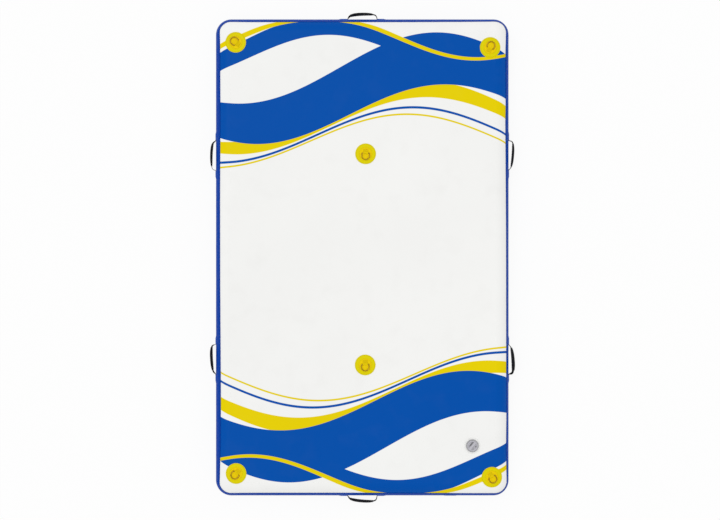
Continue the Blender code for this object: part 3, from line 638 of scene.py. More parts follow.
def laid_mesh(outline, lay, height, rings=10, crease=40):
    """A cut sheet laid on a surface: rings from its middle to its edge, which is a little rounded.

    Height gives how high the sheet's face lies at a flat point, and its map is the flat sheet.
    """
    shell = Shell()
    steps = [(0.97 * ring / rings, 1.0) for ring in range(rings + 1)]
    steps += [(0.985, 0.98), (0.995, 0.85), (1.0, 0.55), (1.0, -0.05)]
    for share, part in steps:
        flat = [point * share for point in outline]
        shell.ring([lay(*at, height(*at) * part) for at in flat], flat)
    for share in (0.75, 0.5, 0.25, 0.0):
        flat = [point * share for point in outline]
        shell.ring([lay(*at, LAID_UNDER) for at in flat], flat)
    return shell.close(crease)


# Rows of small diamonds that the roller leaves near a rim.
@shader_group("knurled weld", "Vector", "Inset", "Width", "Pitch")
def knurled_weld(vector, inset, width, pitch):
    x, y, _ = axes_of(vector)
    pace = math.pi / pitch
    diamonds = abs(sine((x + y) * pace) * sine((x - y) * pace))
    mask = maths("DIVIDE", abs(y) - (inset - width), 0.0012, clamp=True)
    return {"Height": diamonds * mask, "Mask": mask}


def add_weld(material, inset, width, depth=0.00012, darker=0.10, pitch=0.0022, ringed=False):
    """Puts a knurled weld near the rims of a coated finish, or in rings near the rim of a disc."""
    tree = material.node_tree
    cloth = flat_map(material)
    if ringed:
        x, y, _ = axes_of(cloth)
        out = shade(tree, "VectorMath", {0: cloth}, "Value", operation="LENGTH")
        cloth = shade(tree, "CombineXYZ", {0: maths("ARCTAN2", y, x) * inset, 1: out})
    diamonds, mask = knurled_weld(cloth, inset, width, pitch)
    base = tree.nodes["Principled BSDF"].inputs["Base Color"]
    bump = tree.nodes["Bump"].inputs["Height"]
    colour, height = (Shade(socket.links[0].from_socket) for socket in (base, bump))
    tree.links.new(toned(1.0 - mask * darker, colour).socket, base)
    tree.links.new((height + diamonds * depth).socket, bump)


wall_finish = coated_finish("blue wall cloth", WALL_BLUE, 0.36, gloss=0.04, pillow=0.0004, marks=0.25,
                            dust=0.015)
add_weld(wall_finish, WALL_ARC, WELD_WIDTH)
wall_mesh = band_mesh(WALL_RADIUS - WALL_SHEET, WALL_RIM, puckered=True)
wall_mesh = thickened(wall_mesh, WALL_SHEET, outwards=True)
add_piece("wall_band", wall_mesh, wall_finish, "deck", "side_wall", "side_wall")

joint_outline = rounded_rectangle(*JOINT_SIZE, 0.004)
joint_mesh = laid_mesh(joint_outline, on_wall(270.0, JOINT_ALONG), lambda run, rise: JOINT_TOP)
joint_finish = coated_finish("blue joint patch", WALL_BLUE, 0.36, gloss=0.04, marks=0.12, dust=0.02)
add_weld(joint_finish, JOINT_SIZE[1] / 2, 0.006)
add_piece("wall_joint_cover", joint_mesh, joint_finish, "deck", "wall_joint_patch", "wall_joint_patch")

strip_finish = coated_finish("white inner strip", BOTTOM_WHITE, 0.5)
strip_mesh = thickened(band_mesh(STRIP_RADIUS, STRIP_RIM), STRIP_SHEET, outwards=False)
add_piece("inner_strip", strip_mesh, strip_finish, "deck", "inner_wall_strip", "inner_wall_strip")


# -----------------------------------------------------------------------------
# Drop-stitch core
# Two woven polyester cloths held apart by rows of threads, which keep the chamber flat. It is all
# inside, and its threads stand here at a wider pitch than the real few millimetres.
CORE_INSET = 0.006
CLOTH_TOP = THICKNESS - SKIN_SHEET - 0.0003
CLOTH_BOTTOM = SKIN_SHEET + 0.0003
CLOTH_SHEET = 0.0010
THREAD_PITCH = 0.0560
THREAD_RADIUS = 0.0006
THREAD_MARGIN = 0.03
THREAD_CLEAR = 0.045
THREAD_ROOT = 0.0004
CORE_CLOTH = (0.66, 0.66, 0.62, 1.0)


def core_mesh():
    """Both cloths as closed sheets, and each thread as a slim closed rod let into them."""
    shell = Shell()
    half_x, half_y = FLAT_HALF_X - CORE_INSET, FLAT_HALF_Y - CORE_INSET
    outline = rounded_rectangle(2 * half_x, 2 * half_y, CORNER_RADIUS, parts=(2, 2))
    hole = [VALVE_SPOT + point for point in circle(VALVE_HOLE, HOLE_SIDES)]
    for bottom, loops in ((CLOTH_TOP - CLOTH_SHEET, (outline, hole)), (CLOTH_BOTTOM, (outline,))):
        sides = ([], [])
        for loop in loops:
            for level, edges in enumerate(sides):
                height = bottom + level * CLOTH_SHEET
                shell.ring([(*point, height) for point in loop], joined=level > 0)
                edges += shell.edges()
        for edges in sides:
            shell.fill(edges)
    ends = CLOTH_BOTTOM + CLOTH_SHEET - THREAD_ROOT, CLOTH_TOP - CLOTH_SHEET + THREAD_ROOT
    columns, rows = (int((half - THREAD_MARGIN) / THREAD_PITCH) for half in (half_x, half_y))
    for column in range(-columns, columns + 1):
        for row in range(-rows, rows + 1):
            middle = Vector((column * THREAD_PITCH, row * THREAD_PITCH))
            if (middle - VALVE_SPOT).length < THREAD_CLEAR:
                continue
            corners = [middle + point for point in circle(THREAD_RADIUS, 4)]
            for level, height in enumerate(ends):
                shell.ring([(*point, height) for point in corners], joined=level > 0)
                shell.cap(-1)
    return shell.close()


core_finish = coated_finish("woven core cloth", CORE_CLOTH, 0.85, pitch=0.0011, relief=0.00018)
add_piece("stitched_core", core_mesh(), core_finish, "deck", "drop_stitch_core", "drop_stitch_core")


# -----------------------------------------------------------------------------
# Round patches and their covers
# A yellow coated disc is welded on the deck at each tie point, and over the corners it drapes on the
# rounded edge. A smaller disc covers the tails of the webbing loop that holds the ring.
RING_PLACES = {
    "front_left": (-0.645, 1.092, 141.0),
    "front_right": (0.647, 1.066, 68.0),
    "rear_left": (-0.643, -1.097, 229.0),
    "rear_right": (0.656, -1.116, 298.0),
    "centre_front": (0.0145, 0.526, 270.0),
    "centre_rear": (0.0125, -0.546, 270.0),
}
PATCH_RADIUS = 0.0525
PATCH_TOP = 0.0015
PATCH_STEP = 0.0002
COVER_RADIUS = 0.0330
COVER_SHEET = 0.0010
COVER_BULGE = 0.00022
COVER_TOP = THICKNESS + 0.0030
RING_LIFT = 0.0033
BAR_SETBACK = 0.0035
PATCH_YELLOW = (0.72, 0.62, 0.0, 1.0)
COVER_YELLOW = (0.83, 0.61, 0.0, 1.0)


def on_deck(x, y):
    """Lays a flat point on the deck's top, also where it falls away over the rounded edge."""

    def lay(run, rise, height):
        past_x = max(abs(x + run) - FLAT_HALF_X + CORNER_RADIUS, 0.0)
        past_y = max(abs(y + rise) - FLAT_HALF_Y + CORNER_RADIUS, 0.0)
        past = max(math.hypot(past_x, past_y) - CORNER_RADIUS, 0.0)
        return Vector((x + run, y + rise, MIDDLE + math.sqrt((EDGE_RADIUS + height) ** 2 - past**2)))

    return lay


def on_level(level):
    return lambda run, rise, height: Vector((run, rise, level + height))


def patch_height(run, rise):
    """The patch steps up a fifth of a millimetre where the tails of the loop lie under it."""
    return PATCH_TOP + PATCH_STEP * ramp(math.hypot(run, rise), 0.042, 0.038)


def cover_height(run, rise):
    """The cover bulges slightly over the webbing's tails, in front of the bar and behind it."""
    return COVER_SHEET + COVER_BULGE * ramp(abs(run), 0.015, 0.011) * ramp(abs(rise), 0.026, 0.022)


disc_cloth = {"gloss": 0.05, "pitch": 0.0014, "dust": 0.006}
round_weld = {"depth": 0.0001, "darker": 0.07, "pitch": 0.0018, "ringed": True}
patch_finish = coated_finish("yellow patch cloth", PATCH_YELLOW, 0.38, marks=0.04, **disc_cloth)
add_weld(patch_finish, PATCH_RADIUS, 0.007, **round_weld)
cover_finish = coated_finish("yellow cover cloth", COVER_YELLOW, 0.40, marks=0.03, **disc_cloth)
add_weld(cover_finish, COVER_RADIUS, 0.005, **round_weld)

ring_frames = {}
for name, (x, y, heading) in RING_PLACES.items():
    disc = laid_mesh(circle(PATCH_RADIUS), on_deck(x, y), patch_height, rings=12)
    add_piece(f"round_patch_{name}", disc, patch_finish, "deck", "ring_patch", f"ring_patch_{name}")
    place = Matrix.Translation((x, y, 0.0)) @ turned_about(heading - 90.0)
    ring_frames[name] = place @ Matrix.Translation((0.0, -BAR_SETBACK, COVER_TOP + RING_LIFT))
    disc = laid_mesh(circle(COVER_RADIUS), on_level(COVER_TOP - COVER_SHEET), cover_height, rings=12)
    add_piece(f"patch_cover_{name}", disc, cover_finish, "deck", "ring_cover", f"ring_cover_{name}",
              place=place)


# -----------------------------------------------------------------------------
# Webbing loops
# A 25 mm strip of yellow polyester webbing comes up through the cover, goes over the ring's bar and
# is sewn down behind it with three rows of thread.
WEBBING_WIDTH = 0.0250
LOOP_SHEET = 0.0012
LOOP_MID = 0.0029 + LOOP_SHEET / 2
LOOP_YELLOW = (0.82, 0.62, 0.0, 1.0)
LOOP_THREAD = (0.34, 0.19, 0.0, 1.0)
LOOP_ROWS = (0.0035, 0.0085, 0.0135)


def ways_along(line, closed=False):
    """The line's direction at each of its points."""
    befores = [line[-1 if closed else 0]] + line
    afters = line[1:] + [line[0 if closed else -1]]
    return [(after - before).normalized() for before, after in zip(befores, afters)]


def ribbon_mesh(spots, thickness):
    """A flat strip along a row of (point, face direction, cross direction), mapped in metres."""
    half, low = WEBBING_WIDTH / 2, thickness / 2
    inner = half - 0.35 * thickness
    upper = [(side, low) for side in (-inner, -half / 3, half / 3, inner)]
    section = [(-half, 0.0), *upper, (half, 0.0), *((-side, -low) for side, low in upper)]
    shell = Shell()
    run = 0.0
    for index, (point, face, across) in enumerate(spots):
        run += (point - spots[max(index - 1, 0)][0]).length
        points = [point + across * side + face * through for side, through in section]
        shell.ring(points, [(run, side) for side, _ in section])
    for ring in (shell.rings[0], shell.rings[-1]):
        for corners in ((0, 1, 9), (1, 2, 8, 9), (2, 3, 7, 8), (3, 4, 6, 7), (4, 5, 6)):
            shell.bm.faces.new([ring[corner] for corner in corners])
    return shell.close(50)


def loop_spots():
    """The strip's way in the ring's frame, from its tail behind the bar over it and into the cover."""
    flat = -RING_LIFT + LOOP_SHEET / 2 + 0.0002
    points = [(-0.0225, flat), (-0.0180, flat), (-0.0120, flat), (-0.0080, flat), (-0.0060, flat + 0.0001),
              (-0.0047, flat + 0.0007)]
    points += [polar(math.radians(195 - 195 * step / 12), LOOP_MID) for step in range(13)]
    points += [(LOOP_MID, -0.0015), (LOOP_MID - 0.0001, -0.0040)]
    line = [Vector((0.0, *point)) for point in points]
    across = Vector((1.0, 0.0, 0.0))
    return [(point, across.cross(way), across) for point, way in zip(line, ways_along(line))]


# Lengthwise ribs with staggered crossings.
@shader_group("woven ribs", "Vector", "Rib Pitch")
def woven_ribs(vector, pitch):
    x, y, _ = axes_of(vector)
    column = y / pitch
    stagger = maths("FLOOR", column) * (math.pi * 0.5)
    pick = sine(x / (pitch * 1.7) * (2 * math.pi) + stagger) * 0.28 + 0.72
    height = abs(sine(column * math.pi)) ** 0.7 * pick
    return {"Height": height, "Groove": maths("SUBTRACT", 1.0, height, clamp=True)}


# Dashes of thread along a line.
@shader_group("stitch row", "Along", "Across", "Pitch", "Width")
def stitch_row(along, across, pitch, width):
    dash = maths("DIVIDE", 0.40 - abs(maths("FRACT", along / pitch) - 0.5), 0.09, clamp=True)
    side = abs(across) / width
    return {"Thread": dash * maths("SUBTRACT", 1.0, side * side, clamp=True)}


def webbing_finish(name, colour, thread, roughness, groove=-0.45, sheen=0.05, rows=(), pitch=0.00139,
                   relief=0.00018):
    """Woven webbing, with rows of stitches across it at given distances from its start."""
    material, place = new_finish(name)
    cloth = flat_map(material)
    along, across, _ = axes_of(cloth)
    ribs, groove_mask = woven_ribs(cloth, pitch)
    tone, _ = handling_marks(place, 0.02)
    # Painted shade: the colour darkens in the grooves between the ribs and lifts a little on the ribs.
    colour = toned(groove_mask * groove + (1.0 - groove / 5) + tone * 0.06, colour)
    height = ribs * relief
    for start in rows:
        sewn, = stitch_row(across, along - start, 0.0042, 0.0009)
        colour = mix_colour(sewn, colour, thread)
        height = height + sewn * 0.0005
    return set_finish(material, colour, groove_mask * 0.1 + roughness, height, gloss=0.08, sheen=sheen)


loop_finish = webbing_finish("yellow webbing", LOOP_YELLOW, LOOP_THREAD, 0.6, groove=-0.2, sheen=0.0,
                             rows=LOOP_ROWS)
for name, place in ring_frames.items():
    strip = ribbon_mesh(loop_spots(), LOOP_SHEET)
    add_piece(f"webbing_loop_{name}", strip, loop_finish, "deck", "ring_cover", place=place)


# -----------------------------------------------------------------------------
# D-rings
# Each is 5 mm steel wire bent to a D and welded in its bar, with fine scratches from ropes and hooks.
# Its dull gold tint is a painted reflection: gray steel tinted with the yellow of the patch under it.
WIRE_RADIUS = 0.0025
RING_HALF = 0.0195
RING_SIDE = 0.0135
RING_BEND = 0.0045
PAINTED_YELLOW_REFLECTION = (0.40, 0.245, 0.022, 1.0)


def d_line():
    """The wire's middle line, all round: the bow, then the two bends of the bar."""
    line = [Vector((0.0, RING_SIDE)) + polar(math.pi * step / 32, RING_HALF) for step in range(33)]
    for side, first in ((-1, math.pi), (1, 1.5 * math.pi)):
        middle = Vector((side * (RING_HALF - RING_BEND), RING_BEND))
        line += [middle + polar(first + math.pi / 2 * step / 8, RING_BEND) for step in range(9)]
    return [point.to_3d() for point in line]


def wire_mesh(line, radius, sides=20, closed=True):
    """Round wire along a line of points, either a closed loop or with flat ends."""
    shell = Shell(mapped=False)
    up = Vector((0.0, 0.0, 1.0))
    for point, way in zip(line, ways_along(line, closed)):
        side = way.cross(up).normalized()
        shell.ring([point + side * at.x + up * at.y for at in circle(radius, sides)])
    if closed:
        shell.join(-1, 0)
    else:
        shell.cap(0)
        shell.cap(-1)
    return shell.close()


def steel_finish(name, colour, roughness):
    """Steel, bare or tinted with a painted reflection: fine hair scratches, and cloudy patches where it is a
    little duller.
    """
    material, place = new_finish(name)
    tone, smudge = handling_marks(place, 0.006)
    long_way = shade(place.tree, "Mapping", {"Vector": place, "Scale": (1.0, 0.15, 1.0)})
    hairs = clouds(long_way, 2600.0, 2.0)
    rough = smudge * 0.14 + hairs * 0.06 + roughness
    return set_finish(material, toned(tone * 0.10 + 1.0, colour), rough, hairs * 0.000004, metallic=1.0)


# The ring's gold tint is a painted reflection of the yellow patch under it.
ring_finish = steel_finish("steel with painted reflection", PAINTED_YELLOW_REFLECTION, 0.20)
for name, place in ring_frames.items():
    wire = wire_mesh(d_line(), WIRE_RADIUS)
    add_piece(f"steel_ring_{name}", wire, ring_finish, f"d_ring_{name}", "d_ring", f"d_ring_{name}",
              place=place)


# -----------------------------------------------------------------------------
# Carry handles
# A loop of black webbing runs through a padded neoprene sleeve. Its two ends lie on the wall, each
# under a blue welded patch with rounded corners.
Sag = namedtuple("Sag", "facing along side reach slant slide lean_tip full_tip puff")

# How each handle sags: the wall it is on, its middle along it, the side of its fuller end, its reach,
# how much it slants, how far its sleeve has slid to the fuller end, how far its lean end and its fuller
# end are tipped over, in degrees, and how much its padding is puffed out.
HANDLES = {
    "right_front": Sag(0.0, 0.523, 1, 0.80, 1.9, 0.002, 1.0, 0.0, 0.0),
    "right_rear": Sag(0.0, -0.523, -1, 0.80, 1.9, -0.001, 1.0, 15.0, 0.5),
    "left_rear": Sag(180.0, 0.523, -1, 0.81, 1.2, 0.004, 8.0, 11.0, 0.05),
    "left_front": Sag(180.0, -0.523, 1, 0.84, 0.0, -0.003, 9.0, 0.0, 0.0),
    "front": Sag(90.0, 0.0, -1, 0.97, 0.0, -0.003, 13.0, 0.0, 0.05),
    "rear": Sag(270.0, 0.0, 1, 1.04, 1.6, -0.002, 9.0, 1.0, 0.05),
}
HANDLE_HALF_SPAN = 0.0785
ANCHOR_LENGTH = 0.040
ANCHOR_WIDTH = 2 * WALL_RADIUS * math.radians(20.0)
ANCHOR_MIDDLE = HANDLE_HALF_SPAN + 0.0005 + ANCHOR_LENGTH / 2
ANCHOR_CORNER = 0.006
ANCHOR_SHEET = 0.0013
ANCHOR_BULGE = 0.0016
ANCHOR_BLUE = (0.012, 0.080, 0.420, 1.0)
STRAP_SHEET = 0.0018
WEBBING_BLACK = (0.007, 0.007, 0.008, 1.0)
THREAD_BLACK = (0.03, 0.03, 0.035, 1.0)
TAIL_LIFT = 0.00115
FREE_LIFT = 0.0030
FOLD_REACH = (0.0022, 0.0165)
HUG_RANGE = (0.014, 0.004)
TIP_RANGE = (0.003, 0.015)
TIP_BLEND = 0.060
GRIP_HALF = 0.0580
GRIP_HALF_HEIGHT = 0.0160
GRIP_HALF_THICK = 0.0056
GRIP_SIDES = 48
GRIP_TURN = 0.011
HEM_WIDTH = 0.0045
HEM_RISE = 0.0003
SEAM_DEPTH = 0.0005
CREASE_DEPTH = 0.00045
CREASE_PITCH = 0.0125
LAP_DEPTH = 0.0007
NEOPRENE_BLACK = (0.005, 0.005, 0.006, 1.0)
NEOPRENE_THREAD = (0.035, 0.035, 0.040, 1.0)
NEOPRENE_DUST = (0.30, 0.30, 0.30, 1.0)

# The webbing's way from one wall fold to the other: distance along the wall, distance out from it.
BOW = (
    (-0.1090, TAIL_LIFT), (-0.1000, TAIL_LIFT), (-0.0880, TAIL_LIFT), (-0.0800, 0.0013), (-0.0765, 0.0024),
    (-0.0725, 0.0075), (-0.0670, 0.0145), (-0.0600, 0.0200), (-0.0450, 0.0245), (-0.0250, 0.0275),
    (0.0000, 0.0290), (0.0250, 0.0292), (0.0450, 0.0280), (0.0600, 0.0255), (0.0690, 0.0215),
    (0.0735, 0.0145), (0.0757, 0.0075), (0.0770, 0.0026), (0.0800, 0.0013), (0.0880, TAIL_LIFT),
    (0.1000, TAIL_LIFT), (0.1090, TAIL_LIFT),
)


def soft_ramp(value, start, end):
    share = ramp(value, start, end)
    return share * share * (3 - 2 * share)


def smooth_line(points, steps):
    """A Catmull-Rom line through the points."""
    line = []
    ends = [points[0]] + points + [points[-1]]
    for a, b, c, d in zip(ends, points, points[1:], ends[3:]):
        for step in range(steps):
            t = step / steps
            bent = (2 * a - 5 * b + 4 * c - d) * t**2 + (3 * b - a - 3 * c + d) * t**3
            line.append(0.5 * (2 * b + (c - a) * t + bent))
    return line + [points[-1]]


def strap_spots(sag):
    """The webbing's middle line with its face and cross directions, and the run from the sleeve's middle."""
    turn, flat_half = wall_side(sag.facing)
    points = []
    for run, out in BOW[:: sag.side]:
        free = out if out < FREE_LIFT else out * (sag.reach + sag.slant * run)
        points.append(Vector((free, run * sag.side, 0.0)))
    line = smooth_line(points, 6)
    base = Vector((flat_half + WALL_RADIUS, sag.along, MIDDLE))
    up = Vector((0.0, 0.0, 1.0))
    spots = []
    for point, way in zip(line, ways_along(line)):
        run = point.y * sag.side
        fuller = ramp(run, -TIP_BLEND, TIP_BLEND)
        tip = math.radians(sag.lean_tip + (sag.full_tip - sag.lean_tip) * fuller)
        tip *= soft_ramp(point.x, *TIP_RANGE)
        face = Vector((way.y, -way.x, 0.0))
        tipped = face * math.cos(tip) - up * math.sin(tip)
        across = up * math.cos(tip) + face * math.sin(tip)
        spots.append((turn @ (base + point), turn @ tipped, turn @ across, run - sag.slide))
    return spots


def hug_wall(mesh, facing):
    """Bends the webbing's tails round the wall's curve, and leaves its free part straight."""
    turn, flat_half = wall_side(facing)
    for vert in mesh.vertices:
        point = turn.inverted() @ vert.co
        reach = point.x - flat_half
        curved = math.sqrt(reach**2 - (point.z - MIDDLE) ** 2)
        point.x += (curved - reach) * soft_ramp(reach - WALL_RADIUS, *HUG_RANGE)
        vert.co = turn @ point


def anchor_height(mouth):
    """The patch bulges over the webbing, and closes down round its end."""

    def height(run, rise):
        bulge = ANCHOR_BULGE * soft_ramp(abs(rise), 0.0180, 0.0130)
        return ANCHOR_SHEET + bulge * soft_ramp(run * mouth, 0.0165, 0.0105)

    return height


def grip_section(run, angle, puff):
    """How far the sleeve's face lies out and up from the webbing, at one angle round it."""
    share = abs(run) / GRIP_HALF
    past = abs(run) - GRIP_HALF + HEM_WIDTH
    thick = GRIP_HALF_THICK * (1.0 - 0.42 * share**3) * (1.0 + puff * max(math.cos(angle), 0.0))
    high = GRIP_HALF_HEIGHT * (1.0 - 0.11 * share**4)
    hem = HEM_RISE * ramp(past, 0.0, 0.0008)
    seam = SEAM_DEPTH * math.exp(-(((past + 0.0008) / 0.0010) ** 2))
    out = math.copysign(abs(math.cos(angle)) ** 0.8, math.cos(angle)) * (thick + hem - seam)
    up = math.copysign(abs(math.sin(angle)) ** 0.85, math.sin(angle)) * (high + hem - 0.8 * seam)
    crease = CREASE_DEPTH * math.sin(2 * math.pi * run / CREASE_PITCH + 2.0 * math.sin(angle))
    crease *= max(-math.cos(angle), 0.0) * (1 - share**6)
    lap = LAP_DEPTH * (1 - share**8) if 190 < math.degrees(angle) < 235 else 0.0
    return out - crease - lap, up


def grip_mesh(line, puff):
    """The sleeve: a flat oval that thins towards both hemmed ends, closed over the webbing with a lap."""
    inside = [spot for spot in line if abs(spot[3]) < GRIP_HALF]
    mouth = (0.0014, WEBBING_WIDTH / 2 + 0.0006)
    angles = [2 * math.pi * step / GRIP_SIDES for step in range(GRIP_SIDES)]
    shell = Shell()
    for index, (point, face, up, run) in enumerate([inside[0]] + inside + [inside[-1]]):
        if index in (0, len(inside) + 1):
            section = [(mouth[0] * math.cos(angle), mouth[1] * math.sin(angle)) for angle in angles]
        else:
            section = [grip_section(run, angle, puff) for angle in angles]
        points = [point + face * out + up * high for out, high in section]
        shell.ring(points, [(run, angle * GRIP_TURN) for angle in angles])
    shell.cap(0)
    shell.cap(-1)
    return shell.close(45, wrap=(0.0, 2 * math.pi * GRIP_TURN))


def neoprene_finish(name):
    """Knitted cloth laminated on foam, with two rows of stitches near each end."""
    material, place = new_finish(name)
    cloth = flat_map(material)
    along, around, _ = axes_of(cloth)
    knit, groove = woven_ribs(cloth, 0.0009)
    tone, smudge = handling_marks(place, 0.03)
    # Painted shade in the knit's grooves, and painted light on its ribs, which stand lighter than the black
    # itself.
    colour = toned(groove * -0.35 + 1.1 + tone * 0.2, NEOPRENE_BLACK)
    colour = mix_colour(smudge * 0.03, colour, NEOPRENE_DUST)
    height = knit * 0.00012
    for start in (GRIP_HALF - 0.005, GRIP_HALF - 0.008):
        sewn, = stitch_row(around, abs(along) - start, 0.0030, 0.0006)
        colour = mix_colour(sewn, colour, NEOPRENE_THREAD)
        height = height + sewn * 0.0004
    return set_finish(material, colour, smudge * 0.06 + 0.78, height, gloss=0.2, sheen=0.04, nap=0.6)


anchor_finish = coated_finish("blue handle patch", ANCHOR_BLUE, 0.38, gloss=0.05, marks=0.05, dust=0.02)
add_weld(anchor_finish, ANCHOR_WIDTH / 2, 0.005)
strap_finish = webbing_finish("black webbing", WEBBING_BLACK, THREAD_BLACK, 0.75, pitch=0.0017,
                              relief=0.00025)
grip_finish = neoprene_finish("neoprene sleeve")
anchor_outline = rounded_rectangle(ANCHOR_LENGTH, ANCHOR_WIDTH, ANCHOR_CORNER)
for name, sag in HANDLES.items():
    body = f"handle_{name}"
    spots = strap_spots(sag)
    strap_mesh = ribbon_mesh([spot[:3] for spot in spots], STRAP_SHEET)
    hug_wall(strap_mesh, sag.facing)
    strap = add_piece(f"webbing_{name}", strap_mesh, strap_finish, None, "handle_strap",
                      f"handle_strap_{name}")
    turn, flat_half = wall_side(sag.facing)
    folds = [turn @ Vector((flat_half + WALL_RADIUS + out, sag.along, MIDDLE)) for out in FOLD_REACH]
    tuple(folds[0])
    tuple(folds[1])
    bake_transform(strap)
    sleeve = grip_mesh(spots, sag.puff)
    grip = add_piece(f"padded_grip_{name}", sleeve, grip_finish, body, "handle_grip", f"handle_grip_{name}")
    for side, label in ((-1, "a"), (1, "b")):
        lay = on_wall(sag.facing, sag.along + side * ANCHOR_MIDDLE)
        patch = laid_mesh(anchor_outline, lay, anchor_height(side))
        add_piece(f"handle_patch_{name}_{label}", patch, anchor_finish, "deck", "handle_anchor",
                  f"handle_anchor_{name}_{label}")


# -----------------------------------------------------------------------------
# Air valve
# A gray moulded valve, clamped through the skin: a white round patch and a rubber gasket, the flange
# with its neck, a nut inside, the spring-loaded stem in its guide, and a cap that turns and lifts off.
# The flange's gray is a little lighter than the cap's, though both are the same plastic: painted light that
# makes up for the shade round the flange's edge.
VALVE_GRAY = (0.41, 0.41, 0.418, 1.0)
CAP_GRAY = (0.390, 0.385, 0.420, 1.0)
INSIDE_GRAY = (0.34, 0.34, 0.35, 1.0)
STEM_WHITE = (0.74, 0.74, 0.72, 1.0)
RUBBER_BLACK = (0.016, 0.016, 0.017, 1.0)
SPRING_STEEL = (0.55, 0.55, 0.53, 1.0)
HANDLED_DUST = (0.50, 0.49, 0.46, 1.0)
PATCH_OUTER = 0.0410
PATCH_SHEET = 0.0013
FLANGE_RADIUS = 0.0325
FLANGE_TOP = 0.0059
FLANGE_BOTTOM = 0.0029
NECK_BOTTOM = -0.0300
CAP_RADIUS = 0.0270
CAP_BOTTOM = 0.0072
CAP_TOP = 0.0097
CAP_RIM_TOP = 0.0109
CAP_FLOOR = 0.0092
CAP_GROOVES = 24
GROOVE_DEPTH = 0.0005
SCOOP_EDGE = 0.0210
CAP_PLUG = 0.0166
PLUG_BOTTOM = CAP_BOTTOM - 0.0090
BAR_LENGTH = 0.0480
BAR_WIDTH = 0.0150
BAR_TOP = 0.0127
BAR_ROOT = 0.0010
BAR_HEADING = 50.0
SPRING_RADIUS = 0.0040
SPRING_WIRE = 0.0009

# Finger scoops and raised ribs beside the bar: along it, across it, half length, half width, depth.
SCOOPS = (
    (0.0045, 0.0096, 0.0190, 0.0048, 0.0017),
    (0.0095, -0.0160, 0.0065, 0.0042, 0.0015),
    (-0.0100, -0.0130, 0.0070, 0.0045, 0.0006),
    (-0.0010, 0.0160, 0.0110, 0.0019, -0.0008),
    (0.0120, -0.0100, 0.0080, 0.0016, -0.0008),
)


def eased(points, radius, steps=4, closed=True):
    """The same outline with each corner eased to a small curve."""
    line = []
    for index, point in enumerate(points):
        if not closed and index in (0, len(points) - 1):
            line.append(point)
            continue
        here = Vector(point)
        before = Vector(points[index - 1]) - here
        after = Vector(points[(index + 1) % len(points)]) - here
        a, b = (here + way.normalized() * min(radius, way.length / 2.2) for way in (before, after))
        for t in (step / (steps - 1) for step in range(steps)):
            line.append(tuple(a * (1 - t) ** 2 + here * 2 * t * (1 - t) + b * t**2))
    return line


def turned_mesh(profile, steps=96, closed=True, worked=Vector, mapped=False):
    """A profile of (radius, height) turned about the valve's axis; worked moves each point afterwards."""
    shell = Shell(mapped)
    for radius, height in profile:
        shell.ring([worked(Vector((*point, height))) for point in circle(radius, steps)])
    if closed:
        shell.join(-1, 0)
    return shell.close(35)


# The fine sparked texture of a plastic mould.
@shader_group("moulded grain", "Vector", "Grain")
def moulded_grain(vector, grain):
    scale = 1.0 / grain
    pits = shade(vector.tree, "TexVoronoi", {"Vector": vector, "Scale": scale}, "Distance")
    return {"Height": pits * 0.5 + clouds(vector, scale, 3.0)}


def moulded_finish(name, colour, roughness, gloss=0.5, tones=()):
    """Moulded plastic or rubber with its grain, a little dirt and a duller look where it is handled.

    Tones paint light and shade by height: each makes it darker or lighter between two heights: start, end,
    change.
    """
    material, place = new_finish(name)
    sparked, = moulded_grain(place, 0.0006)
    tone, smudge = handling_marks(place, 0.015)
    value = tone * 0.08 + 1.0
    for start, end, change in tones:
        height = {"Value": axes_of(place)[2], "From Min": start, "From Max": end}
        value = shade(place.tree, "MapRange", height) * change + value
    colour = mix_colour(smudge * 0.08, toned(value, colour), HANDLED_DUST)
    return set_finish(material, colour, smudge * 0.12 + roughness, sparked * 0.00003, gloss)


valve_place = Matrix.Translation((*VALVE_SPOT, THICKNESS))

collar = [(VALVE_HOLE, 0.0), (VALVE_HOLE, PATCH_SHEET), (PATCH_OUTER, PATCH_SHEET), (PATCH_OUTER, 0.0)]
collar_mesh = turned_mesh(eased(collar, 0.0005), mapped=True)
collar_finish = coated_finish("white valve patch", WHITE, 0.40, marks=0.05)
add_weld(collar_finish, PATCH_OUTER, 0.006, **round_weld)
add_piece("valve_collar_patch", collar_mesh, collar_finish, "deck", "valve_patch", "valve_patch",
          place=valve_place)

flange = [
    (0.0273, FLANGE_TOP - 0.0003), (0.0276, FLANGE_TOP), (0.0290, FLANGE_TOP), (0.0293, FLANGE_TOP - 0.0004),
    (0.0299, FLANGE_TOP - 0.0004), (0.0302, FLANGE_TOP), (FLANGE_RADIUS, FLANGE_TOP),
    (FLANGE_RADIUS, FLANGE_BOTTOM), (0.0220, FLANGE_BOTTOM), (0.0220, NECK_BOTTOM), (0.0090, NECK_BOTTOM),
    (0.0090, NECK_BOTTOM + 0.0050), (0.0170, NECK_BOTTOM + 0.0050), (0.0170, FLANGE_TOP - 0.0003),
]
flange_mesh = turned_mesh(eased(flange, 0.0008))
flange_finish = moulded_finish("gray moulded flange", VALVE_GRAY, 0.42)
add_piece("valve_flange", flange_mesh, flange_finish, "deck", "valve_body", "valve_body", place=valve_place)

lid = [
    (SCOOP_EDGE, CAP_FLOOR), (0.0222, CAP_TOP), (0.0229, CAP_RIM_TOP), (0.0258, CAP_RIM_TOP),
    (CAP_RADIUS, CAP_TOP), (CAP_RADIUS, CAP_BOTTOM), (CAP_PLUG, CAP_BOTTOM), (CAP_PLUG, PLUG_BOTTOM),
    (0.0142, PLUG_BOTTOM), (0.0142, CAP_BOTTOM), (0.0, CAP_BOTTOM),
]
lid = [(SCOOP_EDGE * step / 24, CAP_FLOOR) for step in range(24)] + eased(lid, 0.0006, closed=False)
bar_way = polar(math.radians(BAR_HEADING))


